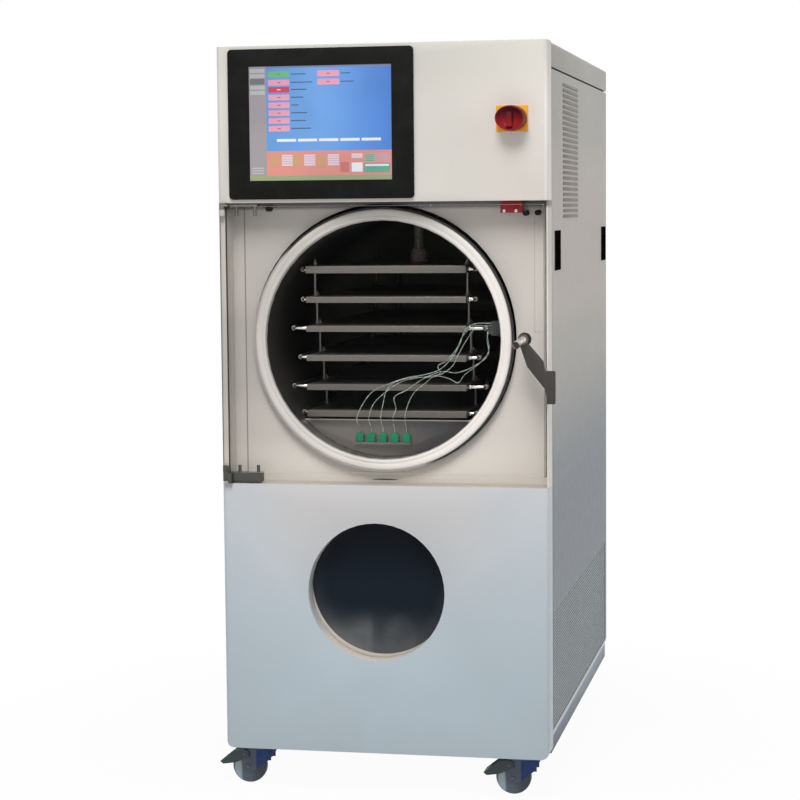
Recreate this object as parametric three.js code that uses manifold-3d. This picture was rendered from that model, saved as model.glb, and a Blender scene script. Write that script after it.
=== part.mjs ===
// A pilot-scale tray freeze dryer on casters, in millimetres with +Z up and its front facing -Y.
// A round product chamber with six stacked shelves sits behind a clear acrylic door, and the
// condenser below it is seen through a porthole. Sizes are taken from the front face (y = 0),
// the middle of the cabinet (x = 0) and the floor (z = 0); the last lines move the whole machine
// so that its origin is on the floor, below the middle of everything.

import * as THREE from "three";
import { mergeVertices } from "three/addons/utils/BufferGeometryUtils.js";
import Module from "manifold-3d";

const wasm = await Module();
wasm.setup();

// ---------------------------------------------------------------- driving dimensions

const cabinetWidth = 786;
const cabinetDepth = 1230;
const cabinetTop = 1779;
const floorClearance = 102;
const sheet = 3;
const fit = 0.3;
const halfWidth = cabinetWidth / 2;

const frontDepth = 71;
const cornerRadius = 12;
const rimWidth = 24;
const baseHeight = 43;
const coverHeight = 58;
const panelGap = 4;
const panelDepth = 15;
const postWidth = 40;

const recessBottom = 745;
const recessTop = 1412;
const recessFace = 68;
const bottomRadius = 20;

const chamberX = -8;
const chamberZ = 1086;
const chamberRadius = 283;
const chamberWall = 6;
const flangeRadius = 314;
const flangeFront = 50;
const flangeThickness = 16;
const chamberEnd = 1000;
const dishDepth = 70;
const gasketInner = 285;
const gasketOuter = 309;

const doorLeft = -369;
const doorRight = 388;
const doorBottom = 770;
const doorTop = 1404;
const doorFront = 6;
const doorThickness = 36;
const doorBack = doorFront + doorThickness;

const shelfCount = 6;
const shelfWidth = 390;
const shelfDepth = 840;
const shelfThicknesses = [18, 15, 15, 15, 15, 16];
const shelfSpacings = [73.5, 69.5, 70, 70, 63];
const shelfFront = 85;
const topShelfZ = 1261;
const rodRadius = 3.5;
const rodInset = 7.5;
const rodSetbacks = [66, 84, 112, 148, 174];

const condenserX = -19;
const condenserZ = 501;
const condenserRadius = 166;
const condenserWall = 4;
const condenserEnd = 640;
const portholeZ = 490;
const portholeRadius = 165;
const collarDepth = 42;
const windowFront = 45;
const windowThickness = 20;

const hingeX = -381;
const hingeY = -8;
const latchX = 338;
const latchZ = 1092;

const wheelRadius = 42.5;
const wheelWidth = 27;
const casterTrail = 28;
const casterInsetX = 67;
const casterInsetY = 75;

const probeCount = 5;
const leadRadius = 1.2;

// ---------------------------------------------------------------- solids from three.js shapes

function signedVolume(geometry) {
  const corner = [new THREE.Vector3(), new THREE.Vector3(), new THREE.Vector3()];
  let volume = 0;
  for (let i = 0; i < geometry.index.count; i += 3) {
    corner.forEach((point, k) => {
      point.fromBufferAttribute(geometry.attributes.position, geometry.index.getX(i + k));
    });
    volume += corner[0].dot(corner[1].cross(corner[2])) / 6;
  }
  return volume;
}

// A three.js geometry as a manifold solid: shared corners are merged, the empty triangles at the
// poles of a lathe are dropped, and the faces are turned outwards.
function solid(source) {
  source.deleteAttribute("normal");
  source.deleteAttribute("uv");
  const geometry = mergeVertices(source, 1e-4);
  const corners = geometry.index.array;
  const kept = [];
  for (let i = 0; i < corners.length; i += 3) {
    const [a, b, c] = [corners[i], corners[i + 1], corners[i + 2]];
    if (a !== b && b !== c && c !== a) kept.push(a, b, c);
  }
  geometry.setIndex(kept);
  if (signedVolume(geometry) < 0) {
    for (let i = 0; i < kept.length; i += 3) [kept[i + 1], kept[i + 2]] = [kept[i + 2], kept[i + 1]];
  }
  const vertProperties = new Float32Array(geometry.attributes.position.array);
  return new wasm.Manifold(new wasm.Mesh({ numProp: 3, vertProperties, triVerts: new Uint32Array(kept) }));
}

function geometryOf(manifold) {
  const mesh = manifold.getMesh();
  const geometry = new THREE.BufferGeometry();
  geometry.setAttribute("position", new THREE.BufferAttribute(new Float32Array(mesh.vertProperties), 3));
  geometry.setIndex(new THREE.BufferAttribute(new Uint32Array(mesh.triVerts), 1));
  return geometry;
}

function join(first, ...others) {
  return others.reduce((whole, piece) => whole.add(piece), first);
}

function cut(first, ...others) {
  return others.reduce((whole, piece) => whole.subtract(piece), first);
}

function box(x, y, z) {
  const geometry = new THREE.BoxGeometry(x[1] - x[0], y[1] - y[0], z[1] - z[0]);
  geometry.translate((x[0] + x[1]) / 2, (y[0] + y[1]) / 2, (z[0] + z[1]) / 2);
  return solid(geometry);
}

// The three ways to stand a flat shape: drawn in XY and pulled up, drawn in XZ and pulled back,
// drawn in YZ and pulled to the right.
function extrudeUp(shape, bottom, top) {
  const settings = { depth: top - bottom, bevelEnabled: false, curveSegments: 6 };
  return solid(new THREE.ExtrudeGeometry(shape, settings).translate(0, 0, bottom));
}

function extrudeBack(shape, front, back, curveSegments = 6) {
  const settings = { depth: back - front, bevelEnabled: false, curveSegments };
  return solid(new THREE.ExtrudeGeometry(shape, settings).rotateX(Math.PI / 2).translate(0, back, 0));
}

function rounded(left, right, bottom, top, radius) {
  const shape = new THREE.Shape();
  shape.moveTo(left + radius, bottom);
  shape.lineTo(right - radius, bottom);
  shape.absarc(right - radius, bottom + radius, radius, -Math.PI / 2, 0);
  shape.absarc(right - radius, top - radius, radius, 0, Math.PI / 2);
  shape.absarc(left + radius, top - radius, radius, Math.PI / 2, Math.PI);
  shape.absarc(left + radius, bottom + radius, radius, Math.PI, 1.5 * Math.PI);
  return shape;
}

// A plan outline that is square at the back and has two rounded front corners.
function roundedFront(half, front, back, radius) {
  const shape = new THREE.Shape();
  shape.moveTo(half, back);
  shape.lineTo(-half, back);
  shape.lineTo(-half, front + radius);
  shape.absarc(-half + radius, front + radius, radius, Math.PI, 1.5 * Math.PI);
  shape.absarc(half - radius, front + radius, radius, 1.5 * Math.PI, 2 * Math.PI);
  return shape;
}

function polygon(points) {
  return new THREE.Shape(points.map(([u, v]) => new THREE.Vector2(u, v)));
}

function turned(profile, segments) {
  return new THREE.LatheGeometry(profile.map(([r, h]) => new THREE.Vector2(r, h)), segments);
}

// Turned about a line along Y through (x, z); the profile is a list of [radius, y].
function turnedY(profile, x, z, segments = 32) {
  return solid(turned(profile, segments).translate(x, 0, z));
}

// Turned about a vertical line through (x, y); the profile is a list of [radius, z].
function turnedZ(profile, x, y, segments = 24) {
  return solid(turned(profile, segments).rotateX(Math.PI / 2).translate(x, y, 0));
}

function rodY(radius, front, back, x, z, segments = 24) {
  return turnedY([[0, front], [radius, front], [radius, back], [0, back]], x, z, segments);
}

function rodZ(radius, bottom, top, x, y, segments = 16) {
  return turnedZ([[0, bottom], [radius, bottom], [radius, top], [0, top]], x, y, segments);
}

function rodX(radius, left, right, y, z, segments = 12) {
  const profile = [[0, left], [radius, left], [radius, right], [0, right]];
  return solid(turned(profile, segments).rotateZ(-Math.PI / 2).translate(0, y, z));
}

function tube(curve, radius, sides, steps) {
  const section = new THREE.Shape();
  for (let k = 0; k < sides; k += 1) {
    const angle = (2 * Math.PI * k) / sides;
    const point = [radius * Math.cos(angle), radius * Math.sin(angle)];
    if (k === 0) section.moveTo(...point);
    else section.lineTo(...point);
  }
  return solid(new THREE.ExtrudeGeometry(section, { extrudePath: curve, steps, bevelEnabled: false }));
}

function smoothCurve(points) {
  return new THREE.CatmullRomCurve3(points.map((point) => new THREE.Vector3(...point)), false, "centripetal");
}

// ---------------------------------------------------------------- materials and nodes

const looks = {
  cream: [0xd8d2c8, 0.45, 0.1],
  paleGrey: [0xb9bdc2, 0.45, 0.1],
  sideGrey: [0xa2a4a3, 0.5, 0.1],
  frameBlue: [0x76838f, 0.5, 0.2],
  steel: [0xb8b6b0, 0.32, 0.9],
  darkSteel: [0x4a4a49, 0.45, 0.7],
  silicone: [0xe4dfd6, 0.6, 0],
  acrylic: [0xe8efef, 0.05, 0],
  darkAcrylic: [0x141a22, 0.08, 0],
  blackPlastic: [0x1f1f1f, 0.5, 0],
  screen: [0x5a93dd, 0.2, 0],
  yellow: [0xe9a02a, 0.45, 0],
  red: [0x8c2326, 0.4, 0],
  interlockRed: [0xb3262c, 0.45, 0],
  rubber: [0x18181a, 0.8, 0],
  copper: [0xa8623c, 0.35, 0.9],
  tyreGrey: [0x5a646e, 0.7, 0],
  pedalGrey: [0x5d6666, 0.5, 0.4],
  braid: [0x9a9c9b, 0.5, 0.7],
  plugGreen: [0x3f7a52, 0.5, 0],
  leadWhite: [0xb9c0b2, 0.6, 0],
};

const machine = new THREE.Group();

function addNode(name, manifold, look) {
  const [color, roughness, metalness] = looks[look];
  const material = new THREE.MeshStandardMaterial({ color, roughness, metalness });
  const mesh = new THREE.Mesh(geometryOf(manifold), material);
  mesh.name = name;
  machine.add(mesh);
}

// ---------------------------------------------------------------- cabinet

const panelBack = cabinetDepth - sheet;
const coverFront = frontDepth + 1;
const baseTop = floorClearance + baseHeight;
const coverBottom = cabinetTop - coverHeight;
const postOuter = halfWidth - panelDepth;
const postInner = postOuter - postWidth;
const frameInset = 4;
const casterPlate = 4;
const casterPlateHalf = [42, 35];
const casterX = halfWidth - casterInsetX;
const casterYs = [casterInsetY, cabinetDepth - casterInsetY];

// The welded frame: a pan with rails all round, four posts, top rails that the lid rests on, and
// two beams that carry the chamber's feet. The casters' mounting plates are welded under it.
function baseFrame() {
  let frame = cut(
    box([-halfWidth + frameInset, halfWidth - frameInset], [frontDepth, cabinetDepth - frameInset],
      [floorClearance, baseTop]),
    box([-postInner, postInner], [frontDepth + postWidth, cabinetDepth - postWidth - frameInset],
      [floorClearance + sheet, baseTop + 1]),
  );
  const insideLid = [coverFront + sheet + fit, panelBack - fit];
  for (const side of [-1, 1]) {
    const x = [side * postInner, side * postOuter].sort((a, b) => a - b);
    for (const y of [frontDepth, panelBack - postWidth]) {
      frame = frame.add(box(x, [y, y + postWidth], [baseTop - 1, coverBottom]));
    }
    frame = frame.add(box(x, [frontDepth, panelBack], [coverBottom - postWidth, coverBottom]));
    frame = frame.add(box(x, insideLid, [coverBottom - 1, cabinetTop - sheet]));
    frame = frame.add(box(x, [frontDepth, panelBack], [beamTop - postWidth, beamTop]));
  }
  for (const y of [frontDepth, panelBack - postWidth]) {
    const across = [-postInner - 1, postInner + 1];
    frame = frame.add(box(across, [y, y + postWidth], [coverBottom - postWidth, coverBottom]));
  }
  for (const y of chamberFeetY) {
    const beam = box([-postInner - 1, postInner + 1], [y, y + postWidth], [beamTop - postWidth, beamTop]);
    frame = frame.add(beam);
  }
  for (const side of [-1, 1]) {
    for (const y of casterYs) {
      const [halfX, halfY] = casterPlateHalf;
      const x = [side * casterX - halfX, side * casterX + halfX];
      const inFrame = Math.max(y - halfY, frontDepth);
      frame = frame.add(box(x, [y - halfY, y + halfY], [floorClearance - casterPlate, floorClearance]));
      frame = frame.add(box(x, [inFrame, y + halfY], [floorClearance - 1, floorClearance + 1]));
    }
  }
  return frame;
}

// A front cover is a shallow pan: a sheet front with rounded corners, returns all round, and a
// flange at the back that is screwed to the posts.
function frontPan(bottom, top) {
  const outer = extrudeUp(roundedFront(halfWidth, 0, frontDepth, cornerRadius), bottom, top);
  const hollow = extrudeUp(
    roundedFront(halfWidth - sheet, sheet, frontDepth - sheet, cornerRadius - sheet),
    bottom + sheet, top - sheet);
  const mouth = box([-halfWidth + rimWidth, halfWidth - rimWidth], [frontDepth - 2 * sheet, frontDepth + 1],
    [bottom + rimWidth, top - rimWidth]);
  return cut(outer, hollow, mouth);
}

const bezelLeft = -363;
const bezelRight = 82;
const bezelMargin = 8;
const bezelBottom = recessTop + bezelMargin;
const bezelTop = cabinetTop - bezelMargin;
const bezelProud = 8;
const glassLeft = -311;
const glassRight = 30;
const glassBottom = bezelBottom + 44;
const glassTop = bezelTop - 41;
const glassThickness = 4;
const screenBodyInset = 24;
const screenBodyDepth = 38;
const isolatorX = 312;
const isolatorZ = (recessTop + cabinetTop) / 2 + 4.5;
const isolatorWidth = 74;
const isolatorHeight = 60;
const isolatorPlate = 4;
const knobRadius = 29.5;
const knobStretch = 1.2;
const drumReach = 48;
const knobReach = 54;
const gripHalf = 8;
const dishOfKnob = 9;

const screenBodyX = [bezelLeft + screenBodyInset, bezelRight - screenBodyInset];
const screenBodyZ = [bezelBottom + screenBodyInset, bezelTop - screenBodyInset];

function upperFascia() {
  const window = box([screenBodyX[0] - fit, screenBodyX[1] + fit], [-1, sheet + 1],
    [screenBodyZ[0] - fit, screenBodyZ[1] + fit]);
  return cut(frontPan(recessTop, cabinetTop), window);
}

// What is left outside the rounding of a lower corner.
function cornerWaste(side) {
  const x = side * (halfWidth - bottomRadius);
  const z = floorClearance + bottomRadius;
  const shape = new THREE.Shape();
  shape.moveTo(x, floorClearance - 1);
  shape.lineTo(side * (halfWidth + 1), floorClearance - 1);
  shape.lineTo(side * (halfWidth + 1), z);
  shape.absarc(x, z, bottomRadius, side > 0 ? 0 : Math.PI, 1.5 * Math.PI, side > 0);
  return extrudeBack(shape, -1, frontDepth + 1, 5);
}

// The lower front has rounded bottom corners and a deep round collar round the porthole.
function lowerFrontPanel() {
  const collar = rodY(portholeRadius + sheet, 0, collarDepth, condenserX, portholeZ, 48);
  const hole = rodY(portholeRadius, -1, frontDepth + 1, condenserX, portholeZ, 48);
  const pan = frontPan(floorClearance, recessBottom);
  return cut(join(pan, collar), hole, cornerWaste(-1), cornerWaste(1));
}

const hingePostRight = -376;
const closingEdge = 389.5;
const keeperReach = 9;
const keeperY = [-4, 14];
const keeperZ = [955, 1005];
const mouthGap = 4;

// The recessed panel round the chamber mouth, with the post that carries the hinges on the left
// and a thin closing edge and latch keeper on the right.
function recessPanel() {
  const z = [recessBottom, recessTop];
  const leftPost = extrudeUp(roundedFront(halfWidth, 0, frontDepth, cornerRadius), ...z)
    .intersect(box([-halfWidth, hingePostRight], [-1, frontDepth], z));
  const rightEdge = box([closingEdge, halfWidth], [panelGap, frontDepth], z);
  const plate = box([hingePostRight - 1, closingEdge + 1], [recessFace, frontDepth], z);
  const keeper = box([closingEdge, halfWidth + keeperReach], keeperY, keeperZ);
  const hole = rodY(flangeRadius + mouthGap, recessFace - 1, frontDepth + 1,
    chamberX, chamberZ + mouthGap, 64);
  return cut(join(leftPost, rightEdge, plate, keeper), hole);
}

// A column of level slots, one above the other, to be cut out of a panel.
function slots({ count, first, pitch, height }, x, y) {
  return Array.from({ length: count }, (_, row) => {
    const z = first + row * pitch;
    return box(x, y, [z, z + height]);
  });
}

// One side panel: a pan with a louvred column above, a slotted vent field below and two flush
// pulls. It is drawn for the right side; the left one is its mirror image.
const rearPullSetback = 80;
const pullYs = [171, cabinetDepth - rearPullSetback];
const pullZ = 1294;
const pullHalf = 47;
const pullProud = 2.5;
const pullRim = 9;
const louvreY = [277, 565];
const louvreFirst = 1371;
const louvrePitch = 13.2;
const louvreCount = Math.floor((coverBottom - louvreFirst - 20) / louvrePitch) + 1;
const louvreRow = { count: louvreCount, first: louvreFirst, pitch: louvrePitch, height: 6 };
const ventMargin = 95;
const ventWeb = 11;
const ventRear = 44;
const ventLength = (cabinetDepth - ventMargin - ventWeb - ventRear) / 2;
const ventFronts = [ventMargin, ventMargin + ventLength + ventWeb];
const ventRow = { count: 10, first: 170, pitch: 28, height: 12 };

function sidePanel(side) {
  const bottom = baseTop + panelGap;
  const top = coverBottom - panelGap;
  const front = frontDepth + panelGap;
  const across = (a, b) => [side * a, side * b].sort((u, v) => u - v);
  let panel = box(across(halfWidth - panelDepth, halfWidth), [front, panelBack + sheet], [bottom, top]);
  panel = cut(panel, box(across(halfWidth - panelDepth - 1, halfWidth - sheet),
    [front + sheet, panelBack], [bottom + sheet, top - sheet]));
  for (const y of pullYs) {
    panel = panel.add(box(across(halfWidth - panelDepth, halfWidth + pullProud),
      [y - pullHalf, y + pullHalf], [pullZ - pullHalf, pullZ + pullHalf]));
    panel = panel.subtract(box(across(halfWidth - panelDepth + sheet, halfWidth + pullProud + 1),
      [y - pullHalf + pullRim, y + pullHalf - pullRim],
      [pullZ - pullHalf + pullRim, pullZ + pullHalf - pullRim]));
  }
  const through = across(halfWidth - sheet - 1, halfWidth + 1);
  panel = cut(panel, ...slots(louvreRow, through, louvreY));
  for (const y of ventFronts) {
    panel = cut(panel, ...slots(ventRow, through, [y, y + ventLength]));
  }
  return panel;
}

const coverRadius = 8;

// The top cover is a lid with turned-down edges and rounded long corners.
function topCover() {
  const outline = roundedTop(halfWidth, coverBottom, cabinetTop, coverRadius);
  const lid = extrudeBack(outline, coverFront, cabinetDepth);
  return cut(lid, box([-halfWidth + sheet, halfWidth - sheet], [coverFront + sheet, cabinetDepth - sheet],
    [coverBottom - 1, cabinetTop - sheet]));
}

function roundedTop(half, bottom, top, radius) {
  const shape = new THREE.Shape();
  shape.moveTo(-half, bottom);
  shape.lineTo(half, bottom);
  shape.lineTo(half, top - radius);
  shape.absarc(half - radius, top - radius, radius, 0, Math.PI / 2);
  shape.absarc(-half + radius, top - radius, radius, Math.PI / 2, Math.PI);
  return shape;
}

const rearVent = { count: 14, first: 200, pitch: 20, height: 8 };
const rearVentHalf = 280;
const vacuumLineZ = 600;
const vacuumLineRadius = 13;
const glandPlace = { x: 250, z: 560, radius: 14, reach: 22 };

// The rear panel has a vent of long slots, a hole for the vacuum line and the power cord's gland.
function rearPanel() {
  const half = postOuter - 1;
  const through = [panelBack - 1, cabinetDepth + 1];
  const panel = box([-half, half], [panelBack, cabinetDepth], [baseTop + panelGap, coverBottom - panelGap]);
  const passage = rodY(vacuumLineRadius + 6, ...through, condenserX, vacuumLineZ, 20);
  const vents = slots(rearVent, [-rearVentHalf, rearVentHalf], through);
  const { x, z, radius, reach } = glandPlace;
  const gland = rodY(radius, panelBack + 1, cabinetDepth + reach, x, z, 16);
  return join(cut(panel, passage, ...vents), gland);
}

// ---------------------------------------------------------------- chamber

const beamTop = 742;
const chamberFeetY = [190, 780];
const footHalf = 150;
const ramHoleRadius = 15;
const ramBossRadius = 46;
const ramBossTop = chamberZ + chamberRadius + 20;
const ramY = shelfFront + shelfDepth / 2;
const ductRadius = 60;
const ductY = 560;
const probePort = { x: 252, y: 78, z: 1114 };

// Half of a dished end, from the wall to the axis, as [radius, y].
function dish(radius, start, depth, steps) {
  const points = [];
  for (let k = 1; k <= steps; k += 1) {
    const angle = (k / steps) * (Math.PI / 2);
    points.push([k === steps ? 0 : radius * Math.cos(angle), start + depth * Math.sin(angle)]);
  }
  return points;
}

// The vacuum vessel: a drum with a front flange and a dished back, two feet, the boss that the ram
// stands on, the vapour duct down to the condenser and the port for the product probes.
function chamberShell() {
  const outerRadius = chamberRadius + chamberWall;
  const outer = turnedY([
    [0, flangeFront], [flangeRadius, flangeFront], [flangeRadius, flangeFront + flangeThickness],
    [outerRadius, flangeFront + flangeThickness], [outerRadius, chamberEnd],
    ...dish(outerRadius, chamberEnd, dishDepth, 2),
  ], chamberX, chamberZ, 48);
  const inner = turnedY([
    [0, flangeFront - 1], [chamberRadius, flangeFront - 1], [chamberRadius, chamberEnd],
    ...dish(chamberRadius, chamberEnd, dishDepth - chamberWall, 2),
  ], chamberX, chamberZ, 48);
  let shell = outer;
  for (const y of chamberFeetY) {
    shell = shell.add(box([chamberX - footHalf, chamberX + footHalf], [y, y + postWidth],
      [beamTop, chamberZ - chamberRadius + 60]));
  }
  shell = shell.add(rodZ(ramBossRadius, chamberZ + chamberRadius - 20, ramBossTop, chamberX, ramY, 24));
  shell = shell.add(rodZ(ductRadius, ductBottom, chamberZ - chamberRadius + 20, condenserX, ductY, 24));
  shell = cut(shell, inner);
  shell = cut(shell, rodZ(ramHoleRadius, chamberZ, ramBossTop + 1, chamberX, ramY, 16));
  shell = cut(shell, rodZ(ductRadius - 5, ductBottom - 1, chamberZ, condenserX, ductY, 24));
  const port = box([probePort.x, chamberX + chamberRadius + 1], [probePort.y - 22, probePort.y + 8],
    [probePort.z - 17, probePort.z + 17]);
  return join(shell, port);
}

function chamberGasket() {
  const front = doorBack + fit;
  return turnedY([
    [gasketInner, flangeFront], [gasketInner, front], [gasketOuter - 2, front], [gasketOuter, front + 3],
    [gasketOuter, flangeFront], [gasketInner, flangeFront],
  ], chamberX, chamberZ, 48);
}

// The stainless apron below the shelves, cut to the chamber's circle, with its folded top edge
// and the socket strip that the probe plugs stand in.
const baffleY = 105;
const baffleTop = 892;
const plugPitch = 28.5;
const plugFirstX = -76;
const socketTop = baffleTop - 54;
const plugY = 98.5;

function lowerBaffle() {
  const radius = chamberRadius - 3 * fit;
  const angle = Math.acos((chamberZ - baffleTop) / radius);
  const shape = new THREE.Shape();
  shape.absarc(chamberX, chamberZ, radius, -Math.PI / 2 - angle, -Math.PI / 2 + angle);
  const plate = extrudeBack(shape, baffleY, baffleY + 2, 32);
  const half = radius * Math.sin(angle) - 4;
  const fold = box([chamberX - half, chamberX + half], [baffleY + 1, baffleY + 14],
    [baffleTop - 2, baffleTop]);
  const plugLastX = plugFirstX + (probeCount - 1) * plugPitch;
  const strip = box([plugFirstX - 13, plugLastX + 13], [plugY - 5, baffleY + 1],
    [socketTop - 6, socketTop]);
  return join(plate, fold, strip);
}

// ---------------------------------------------------------------- shelves and ram

const stubRadius = 4;
const tabSetback = 150;
const stubY = 120;
const stubLengths = [12, 22, 36, 22, 36, 12];
const headHeights = [16, 12, 12, 12, 12];

// The shelves hang a little closer together at the bottom, and the pressing plate is thicker.
function shelfTop(index) {
  return shelfSpacings.slice(0, index).reduce((z, spacing) => z - spacing, topShelfZ);
}

function shelfMiddle(index) {
  return shelfTop(index) - shelfThicknesses[index] / 2;
}

function rodPlaces(level) {
  const setback = rodSetbacks[level];
  const places = [];
  for (const side of [-1, 1]) {
    for (const y of [shelfFront + setback, shelfFront + shelfDepth - setback]) {
      places.push([chamberX + side * (shelfWidth / 2 - rodInset), y]);
    }
  }
  return places;
}

// A shelf plate with a coolant stub at each side. The rods that stand on it run up through the
// shelf above and end in heads, so that each shelf hangs from the next one up and the stack can
// be pressed together.
function shelf(index) {
  const top = shelfTop(index);
  const x = [chamberX - shelfWidth / 2, chamberX + shelfWidth / 2];
  const under = top - shelfThicknesses[index];
  let plate = box(x, [shelfFront, shelfFront + shelfDepth], [under, top]);
  if (index < shelfCount - 1) {
    for (const [rodX0, rodY0] of rodPlaces(index)) {
      plate = plate.subtract(rodZ(rodRadius + 1, under - 1, top + 1, rodX0, rodY0, 6));
    }
  }
  if (index > 0) {
    const seat = shelfTop(index - 1) + fit;
    for (const [rodX0, rodY0] of rodPlaces(index - 1)) {
      plate = plate.add(rodZ(rodRadius, top - 1, seat + headHeights[index - 1], rodX0, rodY0, 6));
      plate = plate.add(rodZ(rodRadius * 2, seat, seat + 6, rodX0, rodY0, 6));
    }
  }
  const middle = shelfMiddle(index);
  const stub = stubLengths[index];
  plate = plate.add(rodX(stubRadius, x[0] - stub, x[0] + 5, stubY, middle, 6));
  plate = plate.add(rodX(stubRadius, x[1] - 5, x[1] + stub, stubY, middle, 6));
  if (index === shelfCount - 1) {
    for (const side of [-1, 1]) {
      for (const y of [shelfFront + tabSetback, shelfFront + shelfDepth - tabSetback]) {
        plate = plate.add(box(wallTab(side), [y, y + 30], [tabBottom, tabBottom + 10]));
      }
    }
  }
  return plate;
}

// The lowest shelf stands on tabs that reach the chamber's wall.
const tabBottom = shelfTop(shelfCount - 1) - shelfThicknesses[shelfCount - 1] - 9;

function wallTab(side) {
  const drop = chamberZ - tabBottom;
  const reach = Math.sqrt((chamberRadius - fit) ** 2 - drop ** 2) - 0.5;
  return [chamberX + side * (shelfWidth / 2 - 5), chamberX + side * reach].sort((a, b) => a - b);
}

const ramRadius = 12;
const bellowsRadius = 22;
const bellowsHeight = 34;
const ramRodTop = 1500;
const ramCylinderTop = 1640;

// The stoppering ram: a polished rod with a short folded bellows where it meets the top shelf.
function ramRod() {
  const profile = [[0, topShelfZ], [bellowsRadius, topShelfZ]];
  const folds = 3;
  for (let k = 0; k < folds; k += 1) {
    const z = topShelfZ + (k * bellowsHeight) / folds;
    profile.push([bellowsRadius, z + 4], [bellowsRadius - 4, z + 6.3]);
    if (k < folds - 1) profile.push([bellowsRadius, z + bellowsHeight / folds]);
  }
  profile.push([ramRadius, topShelfZ + bellowsHeight], [ramRadius, ramRodTop], [0, ramRodTop]);
  return turnedZ(profile, chamberX, ramY, 14);
}

function ramCylinder() {
  const barrel = rodZ(34, ramBossTop, ramCylinderTop, chamberX, ramY, 20);
  const foot = box([chamberX - 45, chamberX + 45], [ramY - 45, ramY + 45], [ramBossTop, ramBossTop + 12]);
  const cap = box([chamberX - 40, chamberX + 40], [ramY - 40, ramY + 40],
    [ramCylinderTop - 20, ramCylinderTop]);
  const bore = rodZ(ramHoleRadius, ramBossTop - 1, ramRodTop + 20, chamberX, ramY, 16);
  return cut(join(barrel, foot, cap), bore);
}

// Flexible hoses from every shelf's stub on one side back to a vertical header pipe.
const hoseBend = 195;
const hoseRadius = 4;
const headerRadius = 10;
const headerY = shelfFront + shelfDepth + 45;
const headerOffset = 150;

function fluidHoses(side) {
  const headerX = chamberX + side * headerOffset;
  const drop = Math.sqrt(chamberRadius ** 2 - (headerOffset + headerRadius) ** 2);
  let hoses = rodZ(headerRadius, chamberZ - drop + 1, shelfTop(0), headerX, headerY, 12);
  for (let index = 0; index < shelfCount; index += 1) {
    const z = shelfMiddle(index);
    const end = chamberX + side * (shelfWidth / 2 + stubLengths[index] + fit);
    const out = end + side * 6;
    const bow = z > chamberZ ? -8 : 8;
    const curve = smoothCurve([
      [end, stubY, z],
      [end + side * 3, stubY, z],
      [out, stubY + 12, z],
      [out - side * 4, stubY + hoseBend, z + bow],
      [out - side * 4, headerY - hoseBend, z + bow],
      [out - side * 6, headerY - 30, z],
      [headerX, headerY, z],
    ]);
    hoses = hoses.add(tube(curve, hoseRadius, 5, 10));
  }
  return hoses;
}

// ---------------------------------------------------------------- probes

const plugSize = { width: 22, depth: 9, height: 24 };

function plugX(index) {
  return plugFirstX + index * plugPitch;
}

function leadY(index) {
  return 60 + index * 4.2;
}

function probePlug(index) {
  const bottom = socketTop + fit;
  const x = plugX(index);
  const neck = 3;
  const body = box([x - plugSize.width / 2, x + plugSize.width / 2],
    [plugY - plugSize.depth / 2, plugY + plugSize.depth / 2], [bottom, bottom + plugSize.height - neck]);
  const plugTop = bottom + plugSize.height;
  const boot = rodZ(leadRadius + 1.5, plugTop - neck - 1, plugTop, x, plugY, 8);
  return join(body, boot);
}

// The leads leave the port at the right, droop in front of the shelves, one behind the other, and
// drop into their plugs. The first three fall in a bunch with a curl, the last two in a wider loop.
const leadRoutes = [
  [[214, 1125], [190, 1112], [176, 1078], [158, 1046], [128, 1017], [90, 1004], [46, 996], [8, 983],
    [-34, 964], [-58, 936]],
  [[206, 1118], [184, 1098], [166, 1064], [142, 1036], [122, 1024], [128, 1008], [108, 1001], [72, 996],
    [30, 985], [-4, 962], [-34, 934]],
  [[212, 1112], [192, 1088], [172, 1054], [154, 1022], [116, 1000],
    [60, 996], [18, 985], [-3, 966], [-12, 934]],
  [[240, 1094], [243, 1062], [228, 1038], [200, 1020], [164, 1008], [132, 1011], [90, 996], [44, 966],
    [14, 948], [18, 922]],
  [[238, 1088], [241, 1052], [214, 1026], [182, 1001], [168, 984], [146, 994], [112, 999], [86, 980],
    [62, 960], [46, 930]],
];

function probeLead(index) {
  const y = leadY(index);
  const exitZ = probePort.z + 12 - index * 6;
  const top = socketTop + fit + plugSize.height + fit;
  const x = plugX(index);
  const curve = smoothCurve([
    [probePort.x - fit, y, exitZ],
    [probePort.x - 10, y, exitZ],
    ...leadRoutes[index].map(([routeX, routeZ]) => [routeX, y, routeZ]),
    [x, y + 4, baffleTop + 6],
    [x, plugY, top + 8],
    [x, plugY, top],
  ]);
  return tube(curve, leadRadius, 8, 28);
}

// ---------------------------------------------------------------- condenser and refrigeration

const condenserOuter = condenserRadius + condenserWall;
const shellFront = windowFront + windowThickness;
const ductBottom = condenserZ + condenserOuter + 24;
const vacuumReach = 35;
const cradleYs = [180, 540];
const cradleHalf = 110;
const coilRadius = 146;
const coilPipeRadius = 7;
const coilBarRadius = 9;
const coilFront = 110;
const coilBack = 600;
const compressorPlace = { x: 120, y: 900, radius: 115, height: 304 };

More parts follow.
